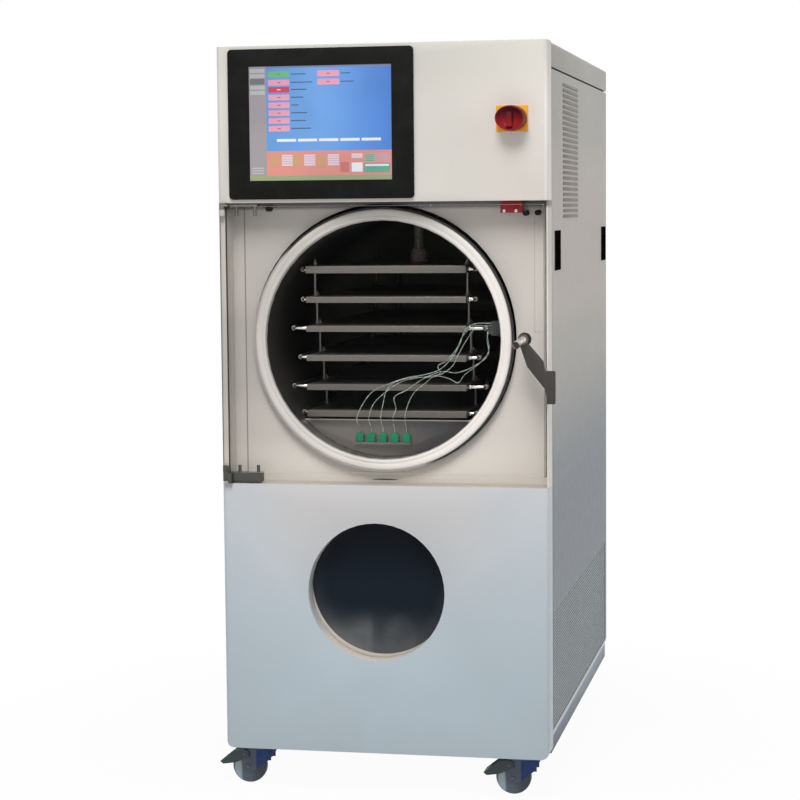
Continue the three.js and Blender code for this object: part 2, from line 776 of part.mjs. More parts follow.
// The condenser drum on two cradle plates, with the duct's neck on top and the vacuum line that
// leaves through the rear panel and ends in a flange for the pump.
function condenserShell() {
  const flange = condenserOuter + 20;
  const outer = turnedY([
    [0, shellFront], [flange, shellFront], [flange, shellFront + 12], [condenserOuter, shellFront + 12],
    [condenserOuter, condenserEnd], ...dish(condenserOuter, condenserEnd, dishDepth - 10, 2),
  ], condenserX, condenserZ, 32);
  const inner = turnedY([
    [0, shellFront - 1], [condenserRadius, shellFront - 1], [condenserRadius, condenserEnd],
    ...dish(condenserRadius, condenserEnd, dishDepth - 10 - condenserWall, 2),
  ], condenserX, condenserZ, 32);
  const cradles = cradleYs.map((y) => box([condenserX - cradleHalf, condenserX + cradleHalf], [y, y + 12],
    [floorClearance + sheet, condenserZ - cradleHalf]));
  const neck = rodZ(ductRadius, condenserZ + condenserRadius - 20, ductBottom - fit, condenserX, ductY, 24);
  const lineEnd = cabinetDepth + vacuumReach;
  const line = rodY(vacuumLineRadius, condenserEnd + 20, lineEnd, condenserX, vacuumLineZ, 16);
  const lineFlange = rodY(20, lineEnd - 6, lineEnd, condenserX, vacuumLineZ, 16);
  const bore = rodY(vacuumLineRadius - 2, condenserEnd, lineEnd + 1, condenserX, vacuumLineZ, 16);
  const neckBore = rodZ(ductRadius - 5, condenserZ, ductBottom + 1, condenserX, ductY, 24);
  return cut(join(outer, ...cradles, neck, line, lineFlange), inner, bore, neckBore);
}

function condenserWindow() {
  return rodY(condenserOuter + 18, windowFront, shellFront, condenserX, condenserZ, 48);
}

// The evaporator coil: a helix along the drum whose last turn runs on to the back wall.
class Helix extends THREE.Curve {
  constructor(radius, start, length, turns) {
    super();
    Object.assign(this, { radius, start, length, turns });
  }

  getPoint(t, target = new THREE.Vector3()) {
    const angle = 2 * Math.PI * this.turns * t;
    return target.set(condenserX + this.radius * Math.cos(angle), this.start + this.length * t,
      condenserZ + this.radius * Math.sin(angle));
  }
}

function condenserCoil() {
  const reach = condenserRadius - coilBarRadius - 2 * fit;
  const helix = tube(new Helix(coilRadius, coilFront, coilBack - coilFront, 3), coilPipeRadius, 5, 44);
  const bars = [0, 1, 2].map((k) => {
    const angle = (2 * Math.PI * k) / 3 + Math.PI / 6;
    return rodY(coilBarRadius, coilFront, coilBack, condenserX + reach * Math.cos(angle),
      condenserZ + reach * Math.sin(angle), 10);
  });
  return join(helix, ...bars);
}

// A welded compressor can with a domed top, on a square foot plate.
function compressor() {
  const { x, y, radius, height } = compressorPlace;
  const pan = floorClearance + sheet;
  const body = turnedZ([
    [0, pan + 20], [0.8 * radius, pan + 22], [radius, pan + 60], [radius, pan + 0.75 * height],
    [0.87 * radius, pan + 0.9 * height], [0.43 * radius, pan + 0.99 * height], [0, pan + height],
  ], x, y, 20);
  const feet = box([x - radius + 5, x + radius - 5], [y - radius + 5, y + radius - 5], [pan, pan + 24]);
  return join(body, feet);
}

// ---------------------------------------------------------------- controls on the fascia

function screenBezel() {
  const frame = extrudeBack(rounded(bezelLeft, bezelRight, bezelBottom, bezelTop, 9), -bezelProud, 0);
  const body = box(screenBodyX, [-1, screenBodyDepth], screenBodyZ);
  const pocket = box([glassLeft - fit, glassRight + fit], [-bezelProud - 1, -bezelProud + 2 + glassThickness],
    [glassBottom - fit, glassTop + fit]);
  return cut(join(frame, body), pocket);
}

function screenGlass() {
  const front = -bezelProud + 2;
  return box([glassLeft, glassRight], [front, front + glassThickness], [glassBottom, glassTop]);
}

function isolatorBackPlate() {
  const shape = rounded(isolatorX - isolatorWidth / 2, isolatorX + isolatorWidth / 2,
    isolatorZ - isolatorHeight / 2, isolatorZ + isolatorHeight / 2, 3);
  return extrudeBack(shape, -isolatorPlate, 0);
}

// The main switch's knob: an oval drum with a softened rim, a dished face and a raised grip with a
// rounded upper end.
function isolatorKnob() {
  const back = -isolatorPlate - fit;
  const face = -drumReach;
  const profile = turned([
    [0, back], [knobRadius - 1, back], [knobRadius, back - 3],
    [knobRadius - 2, face + 3], [knobRadius - 3, face],
    [knobRadius - 6, face], [knobRadius - 9, face + dishOfKnob], [0, face + dishOfKnob],
  ], 36);
  const drum = solid(profile.scale(knobStretch, 1, 1).translate(isolatorX, 0, isolatorZ));
  const grip = new THREE.Shape();
  grip.moveTo(isolatorX + gripHalf, isolatorZ - knobRadius + 8);
  grip.lineTo(isolatorX + gripHalf, isolatorZ + gripHalf);
  grip.absarc(isolatorX, isolatorZ + gripHalf, gripHalf, 0, Math.PI);
  grip.lineTo(isolatorX - gripHalf, isolatorZ - knobRadius + 8);
  return join(drum, extrudeBack(grip, -knobReach, face + dishOfKnob + 1));
}

const interlockX = [276, 328];
const interlockFront = 46;
const interlockHeight = 27;
const interlockScrewXs = [285, 313];

function interlockSwitch() {
  const z = [recessTop - 1 - interlockHeight, recessTop - 1];
  const screws = interlockScrewXs.map((x) =>
    rodY(4.5, interlockFront - 1.5, interlockFront + 4, x, z[0] + 4.5, 10));
  return join(box(interlockX, [interlockFront, recessFace], z), ...screws);
}

const bufferPlaces = [[-283, 1398], [335, 1383], [363, 1384]];
const bufferRadius = 6.5;

function doorBuffer([x, z]) {
  const front = doorBack + fit;
  return turnedY([
    [0, front], [bufferRadius - 2, front], [bufferRadius, front + 3],
    [bufferRadius, recessFace], [0, recessFace],
  ], x, z, 16);
}

// ---------------------------------------------------------------- door, hinges and latch

const strapX = [-375.5, -300];
const strapY = [doorFront + 2, doorBack - 2];
const boltXs = [-355, -309];
const boltY = doorFront + doorThickness / 2;
const boltRadius = 4;
const lowerBoltTop = doorBottom + 17;
const upperBoltBottom = doorTop - 23;
const lowerKnuckle = doorBottom + 4;
const upperKnuckle = doorTop - 7;
const barrelRadius = 7;
const pinRadius = 3;

function chamberDoor() {
  let slab = extrudeBack(rounded(doorLeft, doorRight, doorBottom, doorTop, 6), doorFront, doorBack);
  for (const x of boltXs) {
    slab = slab.subtract(rodZ(boltRadius + fit, doorBottom - 1, lowerBoltTop + 1, x, boltY, 12));
    slab = slab.subtract(rodZ(boltRadius + fit, upperBoltBottom - 1, doorTop + 1, x, boltY, 12));
  }
  return slab;
}

// A strap lies along the slab's edge, is bolted into it, and turns on the pin in front of the
// post. The arm passes the post's corner with a small clearance.
function hingeStrap(z, barrelZ, boltZ) {
  const block = box(strapX, strapY, z);
  const arm = box([strapX[0], strapX[0] + 9], [hingeY - 4, strapY[0] + 4], z);
  const barrel = rodZ(barrelRadius, ...barrelZ, hingeX, hingeY, 16);
  const bore = rodZ(pinRadius + fit, barrelZ[0] - 1, barrelZ[1] + 1, hingeX, hingeY, 12);
  const bolts = boltXs.map((x) => rodZ(boltRadius, ...boltZ, x, boltY, 10));
  return cut(join(block, arm, barrel, ...bolts), bore);
}

// The fixed leaf on the post, with its knuckle and the pin that the strap turns on.
function hingeBracket(leafZ, knuckleZ, pinZ) {
  const leaf = box([hingeX - 9, hingeX + 5], [-sheet, 0], leafZ);
  const web = box([hingeX - barrelRadius, hingeX + 4], [hingeY, 0], knuckleZ);
  const knuckle = rodZ(barrelRadius, ...knuckleZ, hingeX, hingeY, 16);
  const pin = rodZ(pinRadius, ...pinZ, hingeX, hingeY, 12);
  return join(leaf, web, knuckle, pin);
}

const bossFront = -8;
const bossRadius = 15;
const hubRadius = 12;
const armShoulder = 50;
const armDrop = 122;
const hookInner = 50;
const hookOuter = 74;
const hookTop = 72;
const hookBottom = 149;
const handleRadius = 9;

function latchBoss() {
  return turnedY([
    [0, bossFront], [bossRadius - 3, bossFront], [bossRadius, bossFront + 3],
    [bossRadius, doorFront], [0, doorFront],
  ], latchX, latchZ, 24);
}

// The latch turns on the boss: a leaning round handle to the left and a steel plate that reaches
// down to the right and ends in a flat hook plate past the door's edge.
function latchLever() {
  const back = bossFront - fit;
  const hub = rodY(hubRadius, back - 10, back, latchX, latchZ, 20);
  const arm = extrudeBack(polygon([
    [latchX - hubRadius + 1, latchZ - 6], [latchX + hubRadius - 1, latchZ - 9],
    [latchX + hookInner - 4, latchZ - armShoulder], [latchX + hookInner + 10, latchZ - armDrop],
    [latchX + hookInner - 4, latchZ - armDrop + 12], [latchX + 8, latchZ - armShoulder - 12],
  ]), back - 6, back);
  const hook = extrudeBack(rounded(latchX + hookInner, latchX + hookOuter,
    latchZ - hookBottom, latchZ - hookTop, 4), back - 6, back);
  const from = new THREE.Vector3(latchX, back - 5, latchZ);
  const to = new THREE.Vector3(latchX - 14, back - 46, latchZ - 12);
  const handle = tube(new THREE.LineCurve3(from, to), handleRadius, 16, 1);
  return join(hub, arm, hook, handle);
}

// ---------------------------------------------------------------- casters

const forkTop = floorClearance - casterPlate - fit;
const forkInner = 18;
const forkPlate = 3;
const axleRadius = 4;
const pedalPivot = { x: -36, z: 74, radius: 4 };
const pedalGap = 0.8;
const pedalPlate = 4;

// One swivel caster, drawn about its own vertical axis with the wheel trailing towards -X. A fork
// that carries a brake pedal has two pivot stubs outside its cheeks.
function casterForkShape(withPedal) {
  const cheek = polygon([
    [40, forkTop - 6], [26, 62], [-14, 32], [-40, 32], [-46, 60], [-38, forkTop - 6],
  ]);
  const cheeks = [-1, 1].map((side) => {
    const y = [side * forkInner, side * (forkInner + forkPlate)].sort((a, b) => a - b);
    return extrudeBack(cheek, ...y);
  });
  const bridge = box([-38, 40], [-forkInner - forkPlate, forkInner + forkPlate], [forkTop - 9, forkTop - 5]);
  const race = rodZ(27, forkTop - 6, forkTop, 0, 0, 20);
  const axle = rodY(axleRadius, -forkInner - 5, forkInner + 5, -casterTrail, wheelRadius, 10);
  const fork = join(bridge, ...cheeks, race, axle);
  if (!withPedal) return fork;
  const reach = forkInner + forkPlate + pedalGap + pedalPlate + 1;
  const stubs = [[-reach, -forkInner - 1], [forkInner + 1, reach]].map((y) =>
    rodY(pedalPivot.radius, ...y, pedalPivot.x, pedalPivot.z, 12));
  return join(fork, ...stubs);
}

function casterWheelShape() {
  const half = wheelWidth / 2;
  return turnedY([
    [axleRadius + 0.4, -half], [16, -half], [24, -9], [36, -half], [wheelRadius, -8], [wheelRadius, 8],
    [36, half], [24, 9], [16, half], [axleRadius + 0.4, half], [axleRadius + 0.4, -half],
  ], -casterTrail, wheelRadius, 20);
}

// The brake pedal straddles the fork and has its tread beyond the wheel.
function brakePedalShape() {
  const cheek = polygon([
    [-98, 54], [-60, 84], [-36, 86], [-25, 80],
    [-25, 67], [-36, 63], [-60, 52], [-90, 48],
  ]);
  const tread = polygon([[-98, 54], [-82, 66.6], [-82, 49.3], [-90, 48]]);
  const inner = forkInner + forkPlate + pedalGap;
  const outer = inner + pedalPlate;
  const left = extrudeBack(cheek, -outer, -inner);
  const right = extrudeBack(cheek, inner, outer);
  const bore = rodY(pedalPivot.radius + fit, -outer - 1, outer + 1, pedalPivot.x, pedalPivot.z, 12);
  return cut(join(left, right, extrudeBack(tread, -outer + 1, outer - 1)), bore);
}

function placed(shape, x, y, turn) {
  const turnMatrix = new THREE.Matrix4().makeRotationZ(turn).setPosition(x, y, 0);
  return solid(geometryOf(shape).applyMatrix4(turnMatrix));
}

// ---------------------------------------------------------------- the machine

addNode("base_frame", baseFrame(), "frameBlue");
addNode("left_side_panel", sidePanel(-1), "sideGrey");
addNode("right_side_panel", sidePanel(1), "sideGrey");
addNode("rear_panel", rearPanel(), "sideGrey");
addNode("top_cover", topCover(), "sideGrey");
addNode("upper_fascia", upperFascia(), "cream");
addNode("recess_panel", recessPanel(), "cream");
addNode("lower_front_panel", lowerFrontPanel(), "paleGrey");

addNode("chamber_shell", chamberShell(), "steel");
addNode("chamber_gasket", chamberGasket(), "silicone");
addNode("lower_baffle", lowerBaffle(), "steel");
addNode("condenser_shell", condenserShell(), "steel");
addNode("condenser_coil", condenserCoil(), "copper");
addNode("condenser_window", condenserWindow(), "darkAcrylic");
addNode("compressor", compressor(), "blackPlastic");

addNode("screen_bezel", screenBezel(), "blackPlastic");
addNode("screen_glass", screenGlass(), "screen");
addNode("isolator_plate", isolatorBackPlate(), "yellow");
addNode("isolator_knob", isolatorKnob(), "red");
addNode("interlock_switch", interlockSwitch(), "interlockRed");
bufferPlaces.forEach((place, k) => addNode(`door_buffer_${k + 1}`, doorBuffer(place), "rubber"));

addNode("chamber_door", chamberDoor(), "acrylic");
addNode("hinge_bracket_top", hingeBracket(
  [upperKnuckle - 15, upperKnuckle], [upperKnuckle - 15, upperKnuckle],
  [upperKnuckle - 15, doorTop + 4]), "darkSteel");
addNode("hinge_bracket_bottom", hingeBracket(
  [lowerKnuckle, lowerKnuckle + 14], [lowerKnuckle, lowerKnuckle + 14],
  [doorBottom - 18, lowerKnuckle + 14]), "darkSteel");
addNode("hinge_strap_top", hingeStrap([doorTop + fit, doorTop + 5], [upperKnuckle + fit, doorTop + 5],
  [upperBoltBottom, doorTop + 2]), "steel");
addNode("hinge_strap_bottom", hingeStrap(
  [doorBottom - 22, doorBottom - fit], [doorBottom - 18, lowerKnuckle - fit],
  [doorBottom - 3, lowerBoltTop]), "darkSteel");
addNode("latch_boss", latchBoss(), "darkSteel");
addNode("latch_lever", latchLever(), "darkSteel");

addNode("ram_rod", ramRod(), "steel");
addNode("ram_cylinder", ramCylinder(), "steel");
for (let index = 0; index < shelfCount; index += 1) {
  addNode(`shelf_${index + 1}`, shelf(index), "steel");
}
addNode("fluid_hoses_left", fluidHoses(-1), "braid");
addNode("fluid_hoses_right", fluidHoses(1), "braid");
for (let index = 0; index < probeCount; index += 1) {
  addNode(`probe_plug_${index + 1}`, probePlug(index), "plugGreen");
  addNode(`probe_lead_${index + 1}`, probeLead(index), "leadWhite");
}

// The front wheels trail to the left and roll sideways; the rear ones trail backwards.
const casterCorners = [
  ["front_left", -casterX, casterYs[0], 0],
  ["front_right", casterX, casterYs[0], 0],
  ["rear_left", -casterX, casterYs[1], -Math.PI / 2],
  ["rear_right", casterX, casterYs[1], -Math.PI / 2],
];
for (const [corner, x, y, turn] of casterCorners) {
  const withPedal = corner.startsWith("front");
  addNode(`caster_fork_${corner}`, placed(casterForkShape(withPedal), x, y, turn), "darkSteel");
  addNode(`caster_wheel_${corner}`, placed(casterWheelShape(), x, y, turn), "tyreGrey");
  if (withPedal) {
    addNode(`brake_pedal_${corner}`, placed(brakePedalShape(), x, y, turn), "pedalGrey");
  }
}

const bounds = new THREE.Box3().setFromObject(machine);
const middle = bounds.getCenter(new THREE.Vector3());
machine.position.set(-middle.x, -middle.y, -bounds.min.z);

export default machine;
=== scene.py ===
# A tray freeze dryer on casters. Every length is in metres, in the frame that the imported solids
# use. The sections follow the machine as it is put together, from the cabinet to the casters.
import math

import bpy
from mathutils import Matrix, Vector


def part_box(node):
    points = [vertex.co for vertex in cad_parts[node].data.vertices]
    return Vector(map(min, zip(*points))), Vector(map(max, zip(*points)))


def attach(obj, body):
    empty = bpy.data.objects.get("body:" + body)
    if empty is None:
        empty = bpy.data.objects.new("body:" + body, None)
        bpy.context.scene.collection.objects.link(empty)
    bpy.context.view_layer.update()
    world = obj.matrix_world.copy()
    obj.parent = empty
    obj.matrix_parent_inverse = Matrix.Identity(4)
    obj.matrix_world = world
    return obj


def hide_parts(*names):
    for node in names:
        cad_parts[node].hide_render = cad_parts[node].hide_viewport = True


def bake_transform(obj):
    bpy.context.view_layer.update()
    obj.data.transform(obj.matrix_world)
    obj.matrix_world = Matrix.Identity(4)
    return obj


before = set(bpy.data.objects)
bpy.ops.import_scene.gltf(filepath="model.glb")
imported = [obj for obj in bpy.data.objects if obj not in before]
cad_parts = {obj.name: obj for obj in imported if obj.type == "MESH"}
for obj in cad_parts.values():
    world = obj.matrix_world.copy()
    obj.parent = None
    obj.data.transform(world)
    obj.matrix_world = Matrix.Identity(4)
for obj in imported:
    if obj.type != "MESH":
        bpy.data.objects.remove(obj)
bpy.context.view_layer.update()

# ---- The machine's place and the camera
# Places are taken from the cabinet's front face, its middle line and the floor, as on the
# drawings of a cabinet. The camera stands a little to the right and looks slightly down.
fascia_low, fascia_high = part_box("upper_fascia")


def at(x, y, z):
    return Vector(((fascia_low.x + fascia_high.x) / 2 + x, fascia_low.y + y, z))


def x_of(x):
    return at(x, 0, 0).x


def y_of(y):
    return at(0, y, 0).y


turn, tip, roll = math.radians(11.624), math.radians(-4.96), math.radians(-0.506)
level = Vector((-math.sin(turn), math.cos(turn), 0))
forward = level * math.cos(tip) + Vector((0, 0, math.sin(tip)))
right_level = Vector((math.cos(turn), math.sin(turn), 0))
up_level = right_level.cross(forward)
right = right_level * math.cos(roll) + up_level * math.sin(roll)
up = up_level * math.cos(roll) - right_level * math.sin(roll)
lens = bpy.data.cameras.new("camera")
lens.lens = 98.9
lens.sensor_width = 36
lens.clip_end = 60
camera = bpy.data.objects.new("camera", lens)
bpy.context.collection.objects.link(camera)
facing = Matrix((right, up, -forward)).transposed().to_4x4()
camera.matrix_world = Matrix.Translation(at(1.078, -5.0308, 1.3944)) @ facing
bpy.context.scene.camera = camera

# ---- Painted sheet-metal panels
# Folded steel covers with a satin powder coat: the fascia and the recess are cream, the lower
# front a cool pale grey, the cover, back and base frame grey. Their folded edges are rounded.


def pick(*pieces):
    bpy.ops.object.select_all(action="DESELECT")
    for piece in pieces:
        piece.select_set(True)
    bpy.context.view_layer.objects.active = pieces[0]


def round_edges(piece, width, steps=2, angle=35):
    pick(piece)
    edge = piece.modifiers.new("edge", "BEVEL")
    edge.width = width
    edge.segments = steps
    edge.limit_method = "ANGLE"
    edge.angle_limit = math.radians(angle)
    bpy.ops.object.modifier_apply(modifier="edge")


def dressed(node, name, edge=0.0, steps=2):
    """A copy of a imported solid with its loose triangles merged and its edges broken."""
    piece = bpy.data.objects.new(name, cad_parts[node].data.copy())
    bpy.context.collection.objects.link(piece)
    pick(piece)
    bpy.ops.object.mode_set(mode="EDIT")
    bpy.ops.mesh.select_mode(type="VERT")
    bpy.ops.mesh.select_all(action="SELECT")
    bpy.ops.mesh.remove_doubles(threshold=1e-5)
    bpy.ops.mesh.dissolve_limited(angle_limit=math.radians(0.5))
    bpy.ops.object.mode_set(mode="OBJECT")
    if edge:
        round_edges(piece, edge, steps)
    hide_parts(node)
    return piece


def finished(piece, body, finish=None, smooth=35):
    """Gives a piece its smooth faces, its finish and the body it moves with."""
    pick(piece)
    bpy.ops.object.shade_smooth_by_angle(angle=math.radians(smooth))
    if finish:
        piece.data.materials.clear()
        piece.data.materials.append(finish)
    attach(piece, body)
    return piece


class Wire:
    """One shader socket, written into sums such as 1 - mask or grain * 0.3."""

    def __init__(self, tree, socket=None):
        self.tree, self.socket = tree, socket

    def node(self, kind, settings=None, values=None, output=0):
        made = self.tree.nodes.new("ShaderNode" + kind)
        for key, value in (settings or {}).items():
            if key == "stops":
                for stop, (place, colour) in zip(made.color_ramp.elements, value):
                    stop.position, stop.color = place, colour
            else:
                setattr(made, key, value)
        for key, value in (values or {}).items():
            if isinstance(value, Wire):
                self.tree.links.new(value.socket, made.inputs[key])
            else:
                made.inputs[key].default_value = value
        return Wire(self.tree, made.outputs[output])

    def math(self, operation, *values):
        return self.node("Math", {"operation": operation}, dict(enumerate(values)))

    def __add__(self, other):
        return self.math("ADD", self, other)

    def __sub__(self, other):
        return self.math("SUBTRACT", self, other)

    def __rsub__(self, other):
        return self.math("SUBTRACT", other, self)

    def __mul__(self, other):
        return self.math("MULTIPLY", self, other)

    __radd__ = __add__
    __rmul__ = __mul__

    def ramp(self, low, high, start=0.0, end=1.0):
        """Rises smoothly from start to end while this goes from low to high."""
        return self.node("MapRange", {"interpolation_type": "SMOOTHSTEP"},
                         {"Value": self, "From Min": low, "From Max": high, "To Min": start, "To Max": end})

    def band(self, low, high, soft):
        """1 between low and high, falling off over the soft width outside them."""
        return self.ramp(low - soft, low) * self.ramp(high, high + soft, 1.0, 0.0)

    def mixed(self, first, second):
        """The first colour where this is 0 and the second where it is 1."""
        return self.node("Mix", {"data_type": "RGBA"}, {0: self, 6: first, 7: second}, 2)


def tone(red, green, blue):
    """A colour given as it looks, from 0 to 255, in the linear numbers that shaders use."""
    shares = (red / 255, green / 255, blue / 255)
    spread = [c / 12.92 if c <= 0.04045 else ((c + 0.055) / 1.055) ** 2.4 for c in shares]
    return (*spread, 1.0)


class Finish:
    """A material being mixed: its shader, a first wire, and where a point is on the piece."""

    def __init__(self, name, **constants):
        self.material = bpy.data.materials.new(name)
        self.material.use_nodes = True
        self.tree = self.material.node_tree
        self.shader = self.tree.nodes["Principled BSDF"]
        for key, value in constants.items():
            self.shader.inputs[key.replace("_", " ")].default_value = value
        self.wire = Wire(self.tree)
        self.place = self.wire.node("TexCoord", output=3)
        self.x, self.y, self.z = [self.wire.node("SeparateXYZ", None, {0: self.place}, k) for k in range(3)]

    def noise(self, scale, detail=2.0, stretch=None, rough=0.5):
        place = self.place
        if stretch:
            place = self.wire.node("Mapping", None, {"Vector": place, "Scale": stretch})
        return self.wire.node("TexNoise", None, {"Vector": place, "Scale": scale, "Detail": detail,
                                                 "Roughness": rough})

    def feed(self, **sockets):
        for key, wire in sockets.items():
            self.tree.links.new(wire.socket, self.shader.inputs[key.replace("_", " ")])
        return self.material

    def bump(self, height, strength, distance):
        return self.wire.node("Bump", None, {"Height": height, "Strength": strength, "Distance": distance})


def powder_coat(name, colour, shade, rough=0.42, soil=0.0, low=None, throat=None, shaded=None):
    """Satin coat with an orange-peel skin, cloudy colour and a little soil near the floor. It may
    turn to a low colour further down, a painted shade, have a throat, a round opening given as
    its middle and radius, that is painted cream inside, and be shaded by a function of the finish."""
    coat = Finish(name, Metallic=0.0, Coat_Weight=0.1, Coat_Roughness=0.35, Specular_IOR_Level=0.35)
    cloud = coat.noise(2.3, 3.0).ramp(0.35, 0.65)
    speck = coat.noise(420.0, 2.0).ramp(0.35, 0.7)
    colour_now = (cloud * 0.55 + speck * 0.25).mixed(colour, shade)
    # The low colour is a painted shade toward the floor.
    if low:
        colour_now = coat.z.ramp(0.25, 1.15, 1.0, 0.0).mixed(colour_now, low)
    if soil:
        low_down = coat.z.ramp(0.10, 0.55, soil, 0.0) * coat.noise(7.0, 4.0).ramp(0.3, 0.7)
        colour_now = low_down.mixed(colour_now, tone(120, 122, 120))
    if throat:
        middle, radius = throat
        across, upward = coat.x - middle.x, coat.z - middle.z
        reach = coat.wire.math("SQRT", across * across + upward * upward)
        inside = reach.ramp(radius, radius + 0.0004, 1.0, 0.0) * coat.y.ramp(middle.y, middle.y + 0.001)
        lining = across.ramp(-0.165, -0.120, 1.0, 0.0).mixed(tone(230, 222, 213), tone(194, 202, 204))
        colour_now = inside.mixed(colour_now, lining)
    if shaded:
        colour_now = shaded(coat, colour_now)
    peel = coat.noise(650.0, 1.0)
    return coat.feed(Base_Color=colour_now, Roughness=coat.noise(30.0, 2.0) * 0.12 + (rough - 0.06),
                     Normal=coat.bump(peel, 0.12, 0.0004))


def recess_shade(coat, colour):
    """Painted shade, darker up under the fascia and at the left, with a painted shadow line just
    under the fascia and a painted shadow in the gap down the left wall; painted light, paler at
    the foot; and a seam beside the hinge, a cover plate's lines at the right and a drain slot."""
    # Painted shade up under the fascia and toward the hinge side.
    hinge_side = coat.x.ramp(x_of(-0.37), x_of(-0.05), 1.0, 0.0)
    upper = coat.z.ramp(1.05, 1.40) * (hinge_side * -0.22 + 0.36)
    recess_painted_shade = upper + hinge_side * 0.54 + hinge_side * coat.z.band(0.98, 1.12, 0.08) * 0.20
    colour = recess_painted_shade.mixed(colour, tone(172, 167, 160))
    # Painted light: paler toward the foot.
    colour = coat.z.ramp(0.79, 0.87, 0.34, 0.0).mixed(colour, tone(248, 240, 230))
    # Painted shadow: a dark line just under the fascia.
    colour = coat.z.ramp(1.392, 1.403, 0.0, 0.86).mixed(colour, tone(70, 70, 72))
    seam = coat.x.band(x_of(-0.3480), x_of(-0.3465), 0.0016)
    plate_side = coat.x.band(x_of(0.3525), x_of(0.3535), 0.0010)
    plate_foot = coat.z.band(1.1045, 1.1055, 0.0010) * coat.x.band(x_of(0.353), x_of(0.3705), 0.001)
    plate_lines = (plate_side + plate_foot) * coat.z.ramp(1.100, 1.104)
    colour = (seam * 0.8 + plate_lines * 0.3).mixed(colour, tone(120, 116, 110))
    along, upward = (coat.x - x_of(-0.009)) * 30.0, (coat.z - 0.752) * 560.0
    drain = (along * along + upward * upward).ramp(0.7, 1.2, 1.0, 0.0)
    drain = drain * coat.y.ramp(y_of(0.045), y_of(0.047))
    colour = (drain * 0.95).mixed(colour, tone(40, 36, 33))
    # Painted shadow in the deep gap down the left wall.
    wall = coat.x.ramp(x_of(-0.3745), x_of(-0.3735), 1.0, 0.0) * coat.y.band(y_of(0.004), y_of(0.014), 0.003)
    return (wall * coat.z.ramp(0.762, 0.77)).mixed(colour, tone(66, 54, 48))


def fascia_shade(coat, colour):
    """Painted shade and light: the fascia is a little darker along its top, lighter at the switch's
    end and lighter again on its rounded right corner.
    """
    # Painted light toward the switch's end and on the rounded right corner, painted shade along the top.
    colour = coat.x.ramp(x_of(0.16), x_of(0.33), 0.0, 0.3).mixed(colour, tone(236, 228, 219))
    colour = coat.x.ramp(x_of(0.384), x_of(0.390), 0.0, 0.8).mixed(colour, tone(252, 247, 240))
    return coat.z.ramp(1.62, 1.78, 0.0, 0.8).mixed(colour, tone(204, 202, 194))


def ledge_shade(coat, colour):
    """The lower front is warmer toward its top, and its top fold has the recess's colour."""
    warm = coat.x.band(x_of(-0.20), x_of(0.16), 0.16) * coat.z.ramp(0.40, 0.70)
    colour = (warm * 0.32).mixed(colour, tone(226, 213, 207))
    fold = coat.z.ramp(0.7435, 0.7445) * coat.y.ramp(y_of(0.003), y_of(0.005))
    return fold.mixed(colour, tone(200, 192, 182))


def side_shade(coat, colour):
    """Each side is warmer high up, has a painted shade low down and a painted highlight along its
    bottom fold.
    """
    from_middle = coat.x - x_of(0)
    outside = from_middle.math("ABSOLUTE", from_middle).ramp(0.3924, 0.3928)
    fold = outside * coat.z.ramp(0.1555, 0.1570, 1.0, 0.0)
    colour = (outside * coat.z.band(1.18, 1.48, 0.12) * 0.6).mixed(colour, tone(190, 178, 168))
    # Painted shade across the lower part of each side, then a painted highlight on its bottom fold.
    colour = (outside * coat.z.band(0.42, 0.66, 0.42)).mixed(colour, tone(88, 100, 112))
    return (fold * 0.8).mixed(colour, tone(232, 236, 236))


def rail_shade(coat, colour):
    """The frame's rails have a painted shade toward the floor and a painted highlight along the top."""
    # Painted shade toward the floor and a painted highlight along the rails' top.
    colour = coat.z.ramp(0.102, 0.137, 0.9, 0.0).mixed(colour, tone(36, 54, 72))
    painted_top_highlight = coat.z.ramp(0.1365, 0.1380) * coat.z.ramp(0.1455, 0.1460, 1.0, 0.0)
    return painted_top_highlight.mixed(colour, tone(196, 207, 218))


cream_coat = powder_coat("cream_powder_coat", tone(224, 219, 211), tone(215, 210, 202), shaded=fascia_shade)
recess_coat = powder_coat("recess_powder_coat", tone(227, 221, 213), tone(219, 212, 204),
                          shaded=recess_shade)
pale_coat = powder_coat("pale_powder_coat", tone(214, 210, 210), tone(207, 205, 206), soil=0.06,
                        low=tone(184, 197, 205), throat=(at(-0.019, 0.001, 0.490), 0.1655),
                        shaded=ledge_shade)
grey_coat = powder_coat("grey_powder_coat", tone(171, 167, 158), tone(164, 160, 151), soil=0.1,
                        low=tone(94, 103, 112), shaded=side_shade)
frame_coat = powder_coat("frame_paint", tone(108, 125, 145), tone(100, 117, 137), soil=0.15,
                         shaded=rail_shade)

finished(dressed("upper_fascia", "fascia", 0.001), "cabinet", cream_coat)
finished(dressed("recess_panel", "recess", 0.0008), "cabinet", recess_coat)
finished(dressed("top_cover", "lid", 0.001), "cabinet", grey_coat)
finished(dressed("rear_panel", "back_panel", 0.0006), "cabinet", grey_coat)
finished(dressed("base_frame", "welded_frame", 0.0008), "cabinet", frame_coat)
finished(dressed("lower_front_panel", "lower_front", 0.001), "cabinet", pale_coat)

# ---- Side panels
# Each side is a folded pan with a column of pressed louvres above, a perforated vent field below
# and two black cup pulls. The right one is modelled and the left one is its mirror image.


def settle(piece):
    pick(piece)
    bpy.ops.object.transform_apply(location=True, rotation=True, scale=True)


def block(name, low, high, edge=0.0, steps=2):
    """A cube stretched between two corners, with its edges rounded."""
    bpy.ops.object.select_all(action="DESELECT")
    low, high = Vector(low), Vector(high)
    bpy.ops.mesh.primitive_cube_add(size=1, location=(low + high) / 2)
    piece = bpy.context.object
    piece.name = name
    piece.scale = high - low
    settle(piece)
    if edge:
        round_edges(piece, edge, steps)
    return piece


